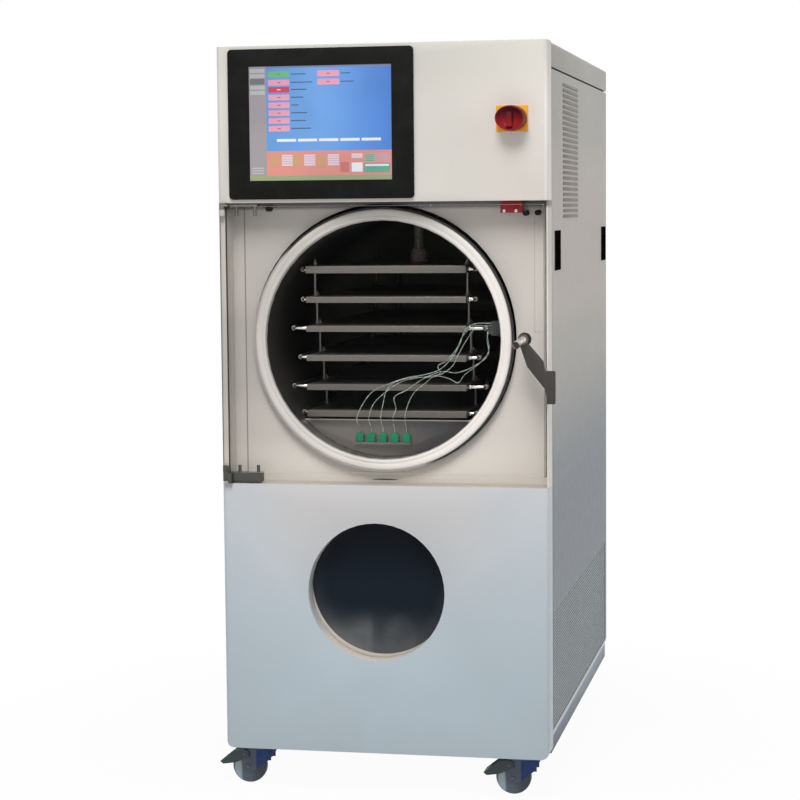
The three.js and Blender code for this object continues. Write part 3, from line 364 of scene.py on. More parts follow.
def rod(name, radius, start, end, sides=24, edge=0.0, tip_radius=None):
    """A round bar between two points, with its rims rounded. It may taper to tip_radius."""
    bpy.ops.object.select_all(action="DESELECT")
    start, end = Vector(start), Vector(end)
    far_radius = radius if tip_radius is None else tip_radius
    bpy.ops.mesh.primitive_cone_add(vertices=sides, radius1=radius, radius2=far_radius,
                                    depth=(end - start).length, location=(start + end) / 2,
                                    rotation=(end - start).to_track_quat("Z", "Y").to_euler())
    piece = bpy.context.object
    piece.name = name
    settle(piece)
    if edge:
        round_edges(piece, edge)
    return piece


def painted(piece, finish):
    piece.data.materials.clear()
    piece.data.materials.append(finish)
    return piece


def joined(name, pieces):
    pick(*pieces)
    bpy.ops.object.join()
    pieces[0].name = name
    return pieces[0]


def copied(piece, name, move):
    """The same shape again, moved, as a mesh of its own."""
    twin = bpy.data.objects.new(name, piece.data.copy())
    bpy.context.collection.objects.link(twin)
    twin.data.transform(move if isinstance(move, Matrix) else Matrix.Translation(move))
    return twin


def carve(piece, *tools):
    for tool in tools:
        pick(piece)
        cutter = piece.modifiers.new("carve", "BOOLEAN")
        cutter.object = tool
        cutter.operation = "DIFFERENCE"
        cutter.solver = "EXACT"
        bpy.ops.object.modifier_apply(modifier="carve")
        bpy.data.objects.remove(tool)
    return piece


side_low, side_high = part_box("right_side_panel")
skin = x_of(0.393)
pan_low = Vector((skin - 0.015, side_low.y, side_low.z))
pan_high = Vector((skin, side_high.y, side_high.z))
side_pan = block("side_pan", pan_low, pan_high, 0.0015, 3)
pan_wall = 0.003
carve(side_pan, block("pan_hollow", pan_low + Vector((-0.01, pan_wall, pan_wall)),
                      pan_high - Vector((pan_wall, pan_wall, pan_wall))))
cut_from, cut_to = 0.37, 0.40
field = [at(cut_from, 0.087, 0.158), at(cut_to, 1.192, 0.440)]
carve(side_pan, block("vent_window", *field))
cup_places = (0.171, 1.150)
for y in cup_places:
    carve(side_pan, block("cup_window", at(cut_from, y - 0.0465, 1.2475), at(cut_to, y + 0.0465, 1.3405)))
louvre_pitch, louvre_count, louvre_low = 0.0132, 25, 1.371
slot_cutters = [block("slot", at(cut_from, 0.279, z), at(cut_to, 0.563, z + 0.0055))
                for z in (louvre_low + row * louvre_pitch for row in range(louvre_count))]
carve(side_pan, joined("slots", slot_cutters))
hood = block("hood", at(0.3905, 0.2775, louvre_low - 0.0005), at(0.3958, 0.5645, louvre_low + 0.0075))
for vertex in hood.data.vertices:
    if vertex.co.x > skin and vertex.co.z > louvre_low + 0.004:
        vertex.co.x = skin + 0.0002
carve(hood, block("hood_hollow", at(0.380, 0.2790, louvre_low - 0.001),
                  at(0.3936, 0.5630, louvre_low + 0.0050)))
round_edges(hood, 0.0005, 2, 40)
louvres = [hood] + [copied(hood, "hood", (0, 0, row * louvre_pitch)) for row in range(1, louvre_count)]
side_pan = painted(side_pan, grey_coat)
# The hoods get a darker copy of the grey coat: a painted shade.
hood_shade_coat = powder_coat("louvre_painted_shade", tone(138, 134, 121), tone(128, 124, 112), 0.6)
side_pan = joined("right_side", [side_pan] + [painted(hood, hood_shade_coat) for hood in louvres])

# The vent field is steel sheet with staggered holes, spot-welded behind the window in the pan.
hole_pitch, hole_radius = 0.009, 0.0027
cell_radius = hole_pitch / math.sqrt(3)
sheet_x = skin - 0.0014
bpy.ops.object.select_all(action="DESELECT")
rings = []
for radius in (cell_radius, hole_radius):
    bpy.ops.mesh.primitive_circle_add(vertices=6, radius=radius, location=(sheet_x, 0, 0),
                                      rotation=(0, math.radians(90), 0))
    rings.append(bpy.context.object)
for ring in rings:
    settle(ring)
mesh_sheet = joined("vent_mesh_right", rings)
pick(mesh_sheet)
bpy.ops.object.mode_set(mode="EDIT")
bpy.ops.mesh.select_all(action="SELECT")
bpy.ops.mesh.bridge_edge_loops()
bpy.ops.object.mode_set(mode="OBJECT")
mesh_sheet.data.transform(Matrix.Rotation(math.radians(30), 4, "X"))
corner = field[0] + Vector((0, -0.002, -0.002))
span = field[1] - field[0] + Vector((0, 0.004, 0.004))
row_pitch = 1.5 * cell_radius
mesh_sheet.data.transform(Matrix.Translation((0, corner.y + hole_pitch / 2, corner.z + cell_radius)))
pick(mesh_sheet)
for name, offset, count in (("pair", Vector((0, hole_pitch / 2, row_pitch)), 2),
                            ("along", Vector((0, hole_pitch, 0)), int(span.y / hole_pitch)),
                            ("upward", Vector((0, 0, 2 * row_pitch)), int(span.z / (2 * row_pitch)) + 1)):
    repeat = mesh_sheet.modifiers.new(name, "ARRAY")
    repeat.use_relative_offset = False
    repeat.use_constant_offset = True
    repeat.constant_offset_displace = offset
    repeat.count = count
    bpy.ops.object.modifier_apply(modifier=name)
bpy.ops.object.mode_set(mode="EDIT")
bpy.ops.mesh.select_all(action="SELECT")
bpy.ops.mesh.remove_doubles(threshold=2e-5)
bpy.ops.mesh.normals_make_consistent(inside=False)
bpy.ops.object.mode_set(mode="OBJECT")
vent_coat = powder_coat("vent_powder_coat", tone(157, 166, 170), tone(148, 157, 162), 0.5)
painted(mesh_sheet, vent_coat)
# The hole walls get a near-black coat: a painted shade.
mesh_sheet.data.materials.append(powder_coat("hole_wall_painted_shade", tone(44, 47, 48), tone(36, 39, 40), 0.7))
thick = mesh_sheet.modifiers.new("thick", "SOLIDIFY")
thick.thickness = 0.001
thick.offset = 0
thick.material_offset_rim = 1
bpy.ops.object.modifier_apply(modifier="thick")

# The cup pulls are moulded in black plastic, with a rim that stands a little proud.
def moulded(name, colour, rough=0.45, grain=900.0, depth=0.25, gloss=0.3):
    """Moulded plastic: a fine spark-eroded texture and slightly uneven gloss."""
    plastic = Finish(name, Metallic=0.0, Specular_IOR_Level=gloss)
    worn = plastic.noise(18.0, 3.0).ramp(0.4, 0.7)
    lighter = tuple(min(1.0, c * 1.25 + 0.006) for c in colour[:3]) + (1.0,)
    return plastic.feed(Base_Color=(worn * 0.5).mixed(colour, lighter),
                        Roughness=plastic.noise(60.0, 2.0) * 0.16 + (rough - 0.08),
                        Normal=plastic.bump(plastic.noise(grain, 2.0), depth, 0.0002))


black_plastic = moulded("black_moulding", tone(9, 9, 10), 0.6, gloss=0.12)
pull_plastic = moulded("matt_black_pull", tone(13, 13, 15), 0.8, gloss=0.0)
pulls = []
for y in cup_places:
    cup = block("pull", at(0.379, y - 0.047, 1.247), at(0.3955, y + 0.047, 1.341), 0.0015, 3)
    carve(cup, block("cup_hollow", at(0.381, y - 0.038, 1.256), at(0.42, y + 0.038, 1.332), 0.004, 3))
    grip = block("grip", at(0.386, y - 0.0385, 1.318), at(0.3945, y + 0.0385, 1.3325), 0.002, 3)
    pulls.append(joined("pull", [cup, grip]))
pull_pair = painted(joined("side_pulls_right", pulls), pull_plastic)

mirror = Matrix.Translation((2 * x_of(0), 0, 0)) @ Matrix.Scale(-1, 4, (1, 0, 0))
for piece, slot, parts in ((side_pan, "side_panels", ["side_panel"]), (mesh_sheet, "side_panels", []),
                           (pull_pair, "black_plastic", [])):
    twin = copied(piece, piece.name.replace("right", "left"), mirror)
    pick(twin)
    bpy.ops.object.mode_set(mode="EDIT")
    bpy.ops.mesh.select_all(action="SELECT")
    bpy.ops.mesh.flip_normals()
    bpy.ops.object.mode_set(mode="OBJECT")
    for side, one in (("right", piece), ("left", twin)):
        finished(one, "cabinet")
        for part in parts:
            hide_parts(f"{side}_{part}")

# ---- Product chamber
# A polished stainless drum with a front flange, a white silicone door seal seated on it, and the
# apron below the shelves. Its inside is painted almost black from the front as a painted shade,
# with faint painted reflection streaks, and a painted shadow runs round the flange's outer edge.


def brushed(name, colour, grain=(1.0, 60.0, 60.0), rough=0.3, shade=0.8, metal=1.0):
    """Ground or polished metal whose fine scratches run along one axis."""
    steel = Finish(name, Metallic=metal)
    scratch = steel.noise(45.0, 4.0, stretch=grain, rough=0.6)
    cloud = steel.noise(5.0, 2.0).ramp(0.35, 0.7)
    darker = tuple(c * shade for c in colour[:3]) + (1.0,)
    return steel.feed(Base_Color=(scratch.ramp(0.3, 0.7) * 0.6 + cloud * 0.3).mixed(colour, darker),
                      Roughness=scratch * 0.22 + cloud * 0.06 + (rough - 0.14),
                      Normal=steel.bump(scratch, 0.18, 0.0003))


chamber_x, chamber_z, chamber_radius = -0.008, 1.086, 0.283
drum = Finish("drum_steel")
aside, above = drum.x - x_of(chamber_x), drum.z - chamber_z
inner_reach = aside.math("SQRT", aside * aside + above * above)
bore = inner_reach.ramp(0.2842, 0.2855, 1.0, 0.0) * drum.y.ramp(y_of(0.051), y_of(0.053))
bore = bore * drum.z.ramp(1.372, 1.374, 1.0, 0.0)
sill = drum.z.ramp(0.886, 0.894, 1.0, 0.0) * drum.y.ramp(y_of(0.103), y_of(0.106), 1.0, 0.0)
port_block = inner_reach.ramp(0.279, 0.280, 1.0, 0.0)
uphill = aside * 0.82 + above * 0.57
# Painted shadow over the top and right of the flange's outer edge.
lip_shadow = inner_reach.ramp(0.3088, 0.3094) * uphill.ramp(-0.095, -0.050)
bore = bore * (1.0 - sill)
bore = bore.math("MAXIMUM", bore, port_block.math("MAXIMUM", port_block, lip_shadow))
# Inside: a painted shade, near black at the front with painted reflection streaks, turning to the steel's
# own grey further back.
scratch = drum.noise(60.0, 4.0, stretch=(1.0, 0.05, 1.0), rough=0.6)
painted_streak = drum.noise(26.0, 3.0, stretch=(1.0, 0.25, 0.2)).ramp(0.5, 0.8)
dark = (painted_streak * 0.6).mixed(tone(42, 40, 37), tone(72, 67, 60))
dark = drum.y.ramp(y_of(0.40), y_of(0.90)).mixed(dark, tone(164, 158, 152))
outer_steel = (scratch * 0.5).mixed(tone(176, 174, 170), tone(140, 138, 134))
drum_steel = drum.feed(Base_Color=bore.mixed(outer_steel, dark), Metallic=bore * -0.9 + 0.9,
                       Roughness=scratch * 0.2 + bore * 0.3 + 0.22, Normal=drum.bump(scratch, 0.15, 0.0003))
finished(dressed("chamber_shell", "chamber"), "cabinet", drum_steel, 40)


def turned(name, profile, centre, axis, steps=96):
    """A profile drawn point by point and spun once round an axis, as on a lathe."""
    bpy.ops.object.select_all(action="DESELECT")
    bpy.ops.mesh.primitive_plane_add(size=0.001, location=profile[0])
    piece = bpy.context.object
    piece.name = name
    settle(piece)
    bpy.ops.object.mode_set(mode="EDIT")
    bpy.ops.mesh.select_mode(type="VERT")
    bpy.ops.mesh.select_all(action="SELECT")
    bpy.ops.mesh.merge(type="CENTER")
    bpy.ops.mesh.select_all(action="SELECT")
    for before, after in zip(profile, profile[1:]):
        bpy.ops.mesh.extrude_region_move(TRANSFORM_OT_translate={"value": Vector(after) - Vector(before)})
    bpy.ops.mesh.select_all(action="SELECT")
    bpy.ops.mesh.spin(steps=steps, angle=2 * math.pi, center=centre, axis=axis)
    bpy.ops.mesh.select_all(action="SELECT")
    bpy.ops.mesh.remove_doubles(threshold=1e-6)
    bpy.ops.mesh.normals_make_consistent(inside=False)
    bpy.ops.object.mode_set(mode="OBJECT")
    return piece


def ring_profile(centre, points):
    """Points given as [radius, y], drawn straight up from a centre that faces the front."""
    return [Vector((centre.x, y_of(y), centre.z + radius)) for radius, y in points]


chamber_middle = at(chamber_x, 0.05, chamber_z)
silicone = Finish("white_silicone", Metallic=0.0, Specular_IOR_Level=0.25)
handled = silicone.noise(9.0, 3.0).ramp(0.4, 0.75)
# Darker toward the top and away from the right, and a painted shade toward the hinge side.
upper_darkening = silicone.z.ramp(0.80, 1.36) * silicone.x.ramp(x_of(0.10), x_of(0.27), 1.0, 0.1)
painted_hinge_shade = silicone.x.ramp(x_of(-0.3), x_of(0.2), 0.56, 0.0)
seal_tone = upper_darkening.mixed(tone(253, 247, 240), tone(219, 216, 209))
silicone_skin = silicone.feed(Base_Color=(handled * 0.2 + painted_hinge_shade).mixed(seal_tone, tone(192, 186, 179)),
                              Roughness=silicone.noise(40.0, 2.0) * 0.15 + 0.45,
                              Normal=silicone.bump(silicone.noise(300.0, 2.0), 0.1, 0.0003))
seal = turned("door_seal", ring_profile(chamber_middle, [
    (0.2850, 0.0500), (0.2850, 0.0440), (0.2860, 0.0428), (0.2880, 0.0424), (0.2920, 0.0424),
    (0.2935, 0.0434), (0.2950, 0.0434), (0.2965, 0.0424), (0.3040, 0.0424), (0.3075, 0.0432),
    (0.3088, 0.0455), (0.3090, 0.0500), (0.2850, 0.0500)]), chamber_middle, (0, 1, 0))
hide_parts("chamber_gasket")
finished(seal, "cabinet", silicone_skin, 50)
apron = Finish("apron_steel", Metallic=0.4)
ground_in = apron.noise(45.0, 4.0, stretch=(1.0, 60.0, 60.0), rough=0.6)
# Painted shade toward the right and a painted highlight along the fold.
far_side_shade = apron.x.ramp(x_of(-0.05), x_of(0.12))
fold_highlight = apron.z.ramp(0.889, 0.8905)
grain_and_shade = ground_in.ramp(0.3, 0.7) * 0.25 + far_side_shade * 0.75
apron_colour = grain_and_shade.mixed(tone(117, 112, 107), tone(68, 68, 70))
apron_steel = apron.feed(Base_Color=fold_highlight.mixed(apron_colour, tone(214, 210, 204)),
                         Roughness=ground_in * 0.2 + 0.35, Normal=apron.bump(ground_in, 0.15, 0.0003))
finished(dressed("lower_baffle", "apron", 0.0004), "cabinet", apron_steel)

# ---- Shelf stack and stoppering ram
# Six ground stainless plates. Rods with hex heads stand on each and run up through the shelf
# above, set back by a stagger at every level, so the stack hangs together and can be pressed
# shut from above by the ram. Coolant nozzles leave each plate near its front corners.
shelf_steel = brushed("shelf_steel", tone(117, 112, 106), (1.0, 40.0, 40.0), 0.42, 0.85, 0.6)
# The lowest two plates get a darker copy of the shelf steel: a painted shade.
shaded_shelf_steel = brushed("shaded_shelf_steel", tone(108, 103, 98), (1.0, 40.0, 40.0), 0.42, 0.85, 0.6)
rod_steel = brushed("rod_steel", tone(128, 122, 117), (60.0, 60.0, 1.0), 0.35, 0.7, 0.7)
bright_steel = brushed("bright_fittings", tone(225, 222, 215), (40.0, 2.0, 40.0), 0.2, 0.8)
shelf_bodies = ["ram", "moving_shelf_2", "moving_shelf_3", "moving_shelf_4", "moving_shelf_5", "cabinet"]
shelf_tops = [1.2610, 1.1875, 1.1180, 1.0480, 0.9780, 0.9150]
plate_thicknesses = [0.018, 0.015, 0.015, 0.015, 0.015, 0.016]
plate_half, plate_front, plate_depth = 0.195, 0.085, 0.840
nozzle_reach = [0.012, 0.012, 0.036, 0.020, 0.036, 0.012]
nozzle_y = 0.120
rod_setbacks = [0.066, 0.084, 0.112, 0.148, 0.174]
head_heights = [0.0158, 0.0112, 0.0112, 0.0112, 0.0112]
last_level = len(shelf_tops) - 1


def rod_spots(level):
    return [(chamber_x + side * (plate_half - 0.0075), y) for side in (-1, 1)
            for y in (plate_front + rod_setbacks[level], plate_front + plate_depth - rod_setbacks[level])]


for level, (top, plate_thick) in enumerate(zip(shelf_tops, plate_thicknesses)):
    plate = block("plate", at(chamber_x - plate_half, plate_front, top - plate_thick),
                  at(chamber_x + plate_half, plate_front + plate_depth, top), 0.0012, 3)
    drilled = rod_spots(level) if level < last_level else []
    holes = [rod("hole", 0.0045, at(x, y, top - 0.03), at(x, y, top + 0.01), 16) for x, y in drilled]
    if holes:
        carve(plate, *holes)
    pick(plate)
    bpy.ops.object.mode_set(mode="EDIT")
    bpy.ops.mesh.select_all(action="SELECT")
    bpy.ops.mesh.bisect(plane_co=at(0, 0, top - 0.004), plane_no=(0, 0, 1))
    bpy.ops.object.mode_set(mode="OBJECT")
    parts = [painted(plate, shelf_steel if level < 4 else shaded_shelf_steel)]
    if level:
        seat = shelf_tops[level - 1] + 0.0003
        dome_top = seat + head_heights[level - 1]
        for x, y in rod_spots(level - 1):
            hanging = [rod("hanger", 0.0035, at(x, y, top - 0.001), at(x, y, seat + 0.004), 16),
                       rod("foot_nut", 0.0062, at(x, y, top - 0.0005), at(x, y, top + 0.005), 6, 0.0005),
                       rod("head_nut", 0.0070, at(x, y, seat), at(x, y, seat + 0.0055), 6, 0.0006),
                       rod("head_dome", 0.0050, at(x, y, seat + 0.005), at(x, y, dome_top), 16, 0.0012,
                           0.0028)]
            parts += [painted(piece, rod_steel) for piece in hanging]
    middle = top - plate_thick / 2
    for side in (-1, 1):
        wall = chamber_x + side * plate_half
        end = wall + side * nozzle_reach[level]
        inlet = [rod("collar", 0.0072, at(wall - side * 0.001, nozzle_y, middle),
                     at(wall + side * 0.006, nozzle_y, middle), 6, 0.0006),
                 rod("nozzle", 0.0048, at(wall, nozzle_y, middle), at(end, nozzle_y, middle), 20, 0.0008)]
        parts += [painted(piece, bright_steel) for piece in inlet]
    if level == last_level:
        for side in (-1, 1):
            near, far = sorted(chamber_x + side * (plate_half + reach) for reach in (-0.005, 0.0115))
            for y in (plate_front + 0.150, plate_front + plate_depth - 0.150):
                tab = block("wall_tab", at(near, y, top - 0.025), at(far, y + 0.030, top - 0.015), 0.001)
                parts.append(painted(tab, shelf_steel))
    stack = joined(f"shelf_plate_{level + 1}", parts)
    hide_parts(f"shelf_{level + 1}")
    finished(stack, shelf_bodies[level])

# The ram is a polished rod; where it meets the top shelf a short folded bellows covers it.
ram_skin = Finish("ram_steel", Metallic=0.1)
worn = ram_skin.noise(120.0, 3.0).ramp(0.3, 0.7)
covered = ram_skin.z.ramp(shelf_tops[0] + 0.030, shelf_tops[0] + 0.034, 1.0, 0.0)
clean_ram = covered.mixed(tone(214, 206, 196), tone(255, 236, 226))
ram_finish = ram_skin.feed(Base_Color=(worn * 0.4).mixed(clean_ram, tone(140, 122, 112)),
                           Roughness=worn * 0.1 + 0.45)
ram_low, ram_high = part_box("ram_rod")
ram_x, ram_y = (ram_low.x + ram_high.x) / 2, (ram_low.y + ram_high.y) / 2
folds = [(0.0, ram_low.z), (0.0215, ram_low.z)]
for fold in range(6):
    z = ram_low.z + 0.0045 * fold
    folds += [(0.0218, z + 0.0008), (0.0218, z + 0.0020), (0.0180, z + 0.0028), (0.0180, z + 0.0038)]
folds += [(0.0175, ram_low.z + 0.029), (0.0135, ram_low.z + 0.034), (0.0120, ram_low.z + 0.034),
          (0.0120, ram_high.z), (0.0, ram_high.z)]
ram = turned("ram", [Vector((ram_x + r, ram_y, z)) for r, z in folds], (ram_x, ram_y, 0), (0, 0, 1), 32)
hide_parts("ram_rod")
finished(ram, "ram", ram_finish, 40)
finished(dressed("ram_cylinder", "ram_cylinder_body", 0.001), "cabinet", rod_steel)

# ---- Shelf hoses
# Braided steel hoses carry coolant from each nozzle back along the chamber wall to a standing
# header pipe on each side.


def smooth_path(points, step):
    """Even points along a smooth curve through the given ones."""
    points = [Vector(p) for p in points]
    path = [2 * points[0] - points[1]] + points + [2 * points[-1] - points[-2]]
    dense = []
    for a, b, c, d in zip(path, path[1:], path[2:], path[3:]):
        t1 = max((b - a).length, 1e-6) ** 0.5
        t2 = t1 + max((c - b).length, 1e-6) ** 0.5
        t3 = t2 + max((d - c).length, 1e-6) ** 0.5
        for k in range(24):
            t = t1 + (t2 - t1) * k / 24
            a1 = a * ((t1 - t) / t1) + b * (t / t1)
            a2 = b * ((t2 - t) / (t2 - t1)) + c * ((t - t1) / (t2 - t1))
            a3 = c * ((t3 - t) / (t3 - t2)) + d * ((t - t2) / (t3 - t2))
            b1 = a1 * ((t2 - t) / t2) + a2 * (t / t2)
            b2 = a2 * ((t3 - t) / (t3 - t1)) + a3 * ((t - t1) / (t3 - t1))
            dense.append(b1 * ((t2 - t) / (t2 - t1)) + b2 * ((t - t1) / (t2 - t1)))
    dense.append(points[-1])
    length = sum((q - p).length for p, q in zip(dense, dense[1:]))
    count = max(2, round(length / step))
    even, walked, k = [dense[0]], 0.0, 0
    for n in range(1, count):
        goal = length * n / count
        while walked + (dense[k + 1] - dense[k]).length < goal:
            walked += (dense[k + 1] - dense[k]).length
            k += 1
        even.append(dense[k].lerp(dense[k + 1], (goal - walked) / (dense[k + 1] - dense[k]).length))
    return even + [dense[-1]], length


def strand(name, path, radius, sides=10, orbit=0.0, pitch=1.0, phase=0.0):
    """A closed tube along a path, or wound round it at the orbit radius. Its UV map runs round
    the tube and, in metres, along it."""
    turn_by, walked, rows = phase, 0.0, []
    side = (path[1] - path[0]).orthogonal().normalized()
    for k, point in enumerate(path):
        heading = (path[min(k + 1, len(path) - 1)] - path[max(k - 1, 0)]).normalized()
        side = (side - heading * side.dot(heading)).normalized()
        over = heading.cross(side)
        if k:
            walked += (point - path[k - 1]).length
        angle = turn_by + 2 * math.pi * walked / pitch
        centre = point + (side * math.cos(angle) + over * math.sin(angle)) * orbit
        rows.append(([centre + (side * math.cos(a) + over * math.sin(a)) * radius
                      for a in (2 * math.pi * s / sides for s in range(sides))], walked))
    verts = [v for ring, _ in rows for v in ring]
    faces, uvs = [], []
    for k in range(len(rows) - 1):
        for s in range(sides):
            n = (s + 1) % sides
            faces.append((k * sides + s, k * sides + n, (k + 1) * sides + n, (k + 1) * sides + s))
            before, after = s / sides, (s + 1) / sides
            near, far = rows[k][1], rows[k + 1][1]
            uvs += [(before, near), (after, near), (after, far), (before, far)]
    last = (len(rows) - 1) * sides
    faces += [tuple(reversed(range(sides))), tuple(range(last, last + sides))]
    uvs += [(0.5, 0.0)] * sides + [(0.5, walked)] * sides
    mesh = bpy.data.meshes.new(name)
    mesh.from_pydata(verts, [], faces)
    layer = mesh.uv_layers.new(name="along")
    for loop, uv in zip(layer.data, uvs):
        loop.uv = uv
    piece = bpy.data.objects.new(name, mesh)
    bpy.context.collection.objects.link(piece)
    return piece


braid = Finish("braided_hose", Metallic=0.85)
uv = braid.wire.node("UVMap", {"uv_map": "along"})
u, v = [braid.wire.node("SeparateXYZ", None, {0: uv}, k) for k in range(2)]
weave = u.math("SINE", u * 37.7 + v * 1500.0) * u.math("SINE", u * 37.7 - v * 1500.0)
over_under = weave.ramp(-0.6, 0.6)
braid_finish = braid.feed(Base_Color=over_under.mixed(tone(58, 57, 55), tone(124, 121, 117)),
                          Roughness=over_under * -0.15 + 0.5, Normal=braid.bump(over_under, 0.7, 0.0006))
elbow_steel = brushed("elbow_steel", tone(196, 192, 186), (40.0, 40.0, 40.0), 0.4, 0.7, 0.45)
header_x, header_y = 0.150, plate_front + plate_depth + 0.045
for side, word in ((-1, "left"), (1, "right")):
    foot = chamber_z - math.sqrt(chamber_radius ** 2 - (header_x + 0.010) ** 2) + 0.001
    pipe_x = chamber_x + side * header_x
    header = rod(f"header_{word}", 0.0098, at(pipe_x, header_y, foot),
                 at(pipe_x, header_y, shelf_tops[0]), 24, 0.001)
    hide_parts(f"fluid_hoses_{word}")
    finished(header, "cabinet", rod_steel)
    for level, (top, plate_thick) in enumerate(zip(shelf_tops, plate_thicknesses)):
        z = top - plate_thick / 2
        start_x = chamber_x + side * (plate_half + nozzle_reach[level])
        run_x = chamber_x + side * 0.206
        bow = -0.008 if z > chamber_z else 0.008
        path, _ = smooth_path([
            at(start_x - side * 0.001, nozzle_y, z), at(start_x + side * 0.003, nozzle_y + 0.001, z),
            at(start_x + side * 0.0055, nozzle_y + 0.012, z), at(run_x, nozzle_y + 0.200, z + bow),
            at(run_x, header_y - 0.190, z + bow), at(chamber_x + side * 0.200, header_y - 0.040, z),
            at(chamber_x + side * (header_x + 0.009), header_y, z)], 0.004)
        hose = painted(strand("hose", path, 0.0042, 12), braid_finish)
        elbow = painted(rod("crimp", 0.0055, path[1], path[4], 18, 0.0005), elbow_steel)
        tail = painted(rod("tail_crimp", 0.0055, path[-6], path[-2], 18, 0.0005), bright_steel)
        hose = joined(f"shelf_hose_{word}_{level + 1}", [hose, elbow, tail])
        pick(hose)
        bpy.ops.object.shade_smooth_by_angle(angle=math.radians(40))
        if level < last_level:
            at(0, header_y - 0.03, z)
            at(0, nozzle_y + 0.02, z)
            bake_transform(hose)
        else:
            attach(hose, "cabinet")

# ---- Product probe leads
# Thin pairs of white and green wire, twisted together. They come out of the port box at the
# right of the mouth, droop across in front of the shelves and end in green plugs that stand in
# the socket strip on the apron.
port_x, port_z = 0.252, 1.114
socket_top, plug_y = 0.838, 0.0985
lead_routes = [
    [(214, 1125), (190, 1112), (176, 1078), (158, 1046), (128, 1017), (90, 1004), (46, 996), (8, 983),
     (-34, 964), (-58, 936)],
    [(206, 1118), (184, 1098), (166, 1064), (142, 1036), (122, 1024), (128, 1008), (108, 1001), (72, 996),
     (30, 985), (-4, 962), (-34, 934)],
    [(212, 1112), (192, 1088), (172, 1054), (154, 1022), (116, 1000),
     (60, 996), (18, 985), (-3, 966), (-12, 934)],
    [(240, 1094), (243, 1062), (228, 1038), (200, 1020), (164, 1008), (132, 1011), (90, 996), (44, 966),
     (14, 948), (18, 922)],
    [(238, 1088), (241, 1052), (214, 1026), (182, 1001), (168, 984), (146, 994), (112, 999), (86, 980),
     (62, 960), (46, 930)],
]


def wire_skin(name, colour, shade):
    skin_of = Finish(name, Metallic=0.0, Specular_IOR_Level=0.35)
    return skin_of.feed(Base_Color=skin_of.noise(110.0, 2.0).ramp(0.35, 0.65).mixed(colour, shade),
                        Roughness=skin_of.noise(90.0, 1.0) * 0.2 + 0.4)


white_wire = wire_skin("white_wire", tone(238, 242, 236), tone(172, 186, 176))
green_wire = wire_skin("green_wire", tone(184, 202, 190), tone(92, 122, 104))
plug_plastic = moulded("green_moulding", tone(16, 124, 84), 0.42, 700.0)
for index, route in enumerate(lead_routes):
    y = 0.060 + 0.0042 * index
    plug_x = -0.076 + 0.0285 * index
    exit_z = port_z + 0.012 - 0.006 * index
    body = block("plug", at(plug_x - 0.0085, plug_y - 0.0045, socket_top + 0.0003),
                 at(plug_x + 0.0085, plug_y + 0.0045, socket_top + 0.0213), 0.0014, 3)
    ribs = [block("rib", at(plug_x - 0.0108, plug_y - 0.0042, socket_top + 0.0040 + 0.0085 * k),
                  at(plug_x + 0.0108, plug_y + 0.0042, socket_top + 0.0090 + 0.0085 * k), 0.0016, 2)
            for k in range(2)]
    ribs += [rod("clamp_screw", 0.0022, at(plug_x + 0.0045 * k, plug_y - 0.0046, socket_top + 0.0150),
                 at(plug_x + 0.0045 * k, plug_y, socket_top + 0.0150), 12, 0.0004) for k in (-1, 1)]
    boot = rod("boot", 0.0036, at(plug_x, plug_y, socket_top + 0.0205),
               at(plug_x, plug_y, socket_top + 0.0243), 16, 0.0005, 0.0022)
    plug_parts = [painted(part, plug_plastic) for part in (body, *ribs, boot)]
    plug = joined(f"probe_plug_{index + 1}_shown", plug_parts)
    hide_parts(f"probe_plug_{index + 1}")
    finished(plug, "cabinet")
    droop = [at(px / 1000, y, pz / 1000) for px, pz in route]
    path, length = smooth_path([
        at(port_x - 0.0003, y, exit_z), at(port_x - 0.010, y, exit_z), *droop,
        at(plug_x, y + 0.004, 0.898), at(plug_x, plug_y, socket_top + 0.0326),
        at(plug_x, plug_y, socket_top + 0.0246)], 0.0016)
    pair = joined(f"probe_lead_{index + 1}_shown", [
        painted(strand("wire_a", path, 0.00048, 6, 0.00046, 0.012, 0.0), white_wire),
        painted(strand("wire_b", path, 0.00048, 6, 0.00046, 0.012, math.pi), green_wire)])
    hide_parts(f"probe_lead_{index + 1}")
    finished(pair, "cabinet", smooth=60)

# ---- Condenser and refrigeration
# A stainless drum with a copper coil inside lies behind a thick clear window. The window is an
# opaque disc painted nearly black as a painted shade, with the lit drum floor, a glint and a glow
# near its rim painted in as painted light.
finished(dressed("condenser_shell", "condenser"), "cabinet",
         brushed("condenser_steel", tone(180, 178, 172), (1.0, 40.0, 1.0), 0.3, 0.8), 40)
finished(dressed("condenser_coil", "evaporator_coil"), "cabinet",
         brushed("copper_tube", tone(176, 112, 76), (20.0, 20.0, 20.0), 0.35, 0.7), 60)
finished(dressed("compressor", "compressor_can", 0.001), "cabinet",
         powder_coat("compressor_paint", tone(44, 45, 47), tone(36, 37, 38), 0.4), 40)
window_middle = at(-0.019, 0.045, 0.501)
pane = Finish("window_painted_shade", Metallic=0.0, Specular_IOR_Level=0.1)
sight = at(-0.012, 0.045, 0.507)
sight_radius = 0.1725
across = pane.x - sight.x
below = pane.z - sight.z
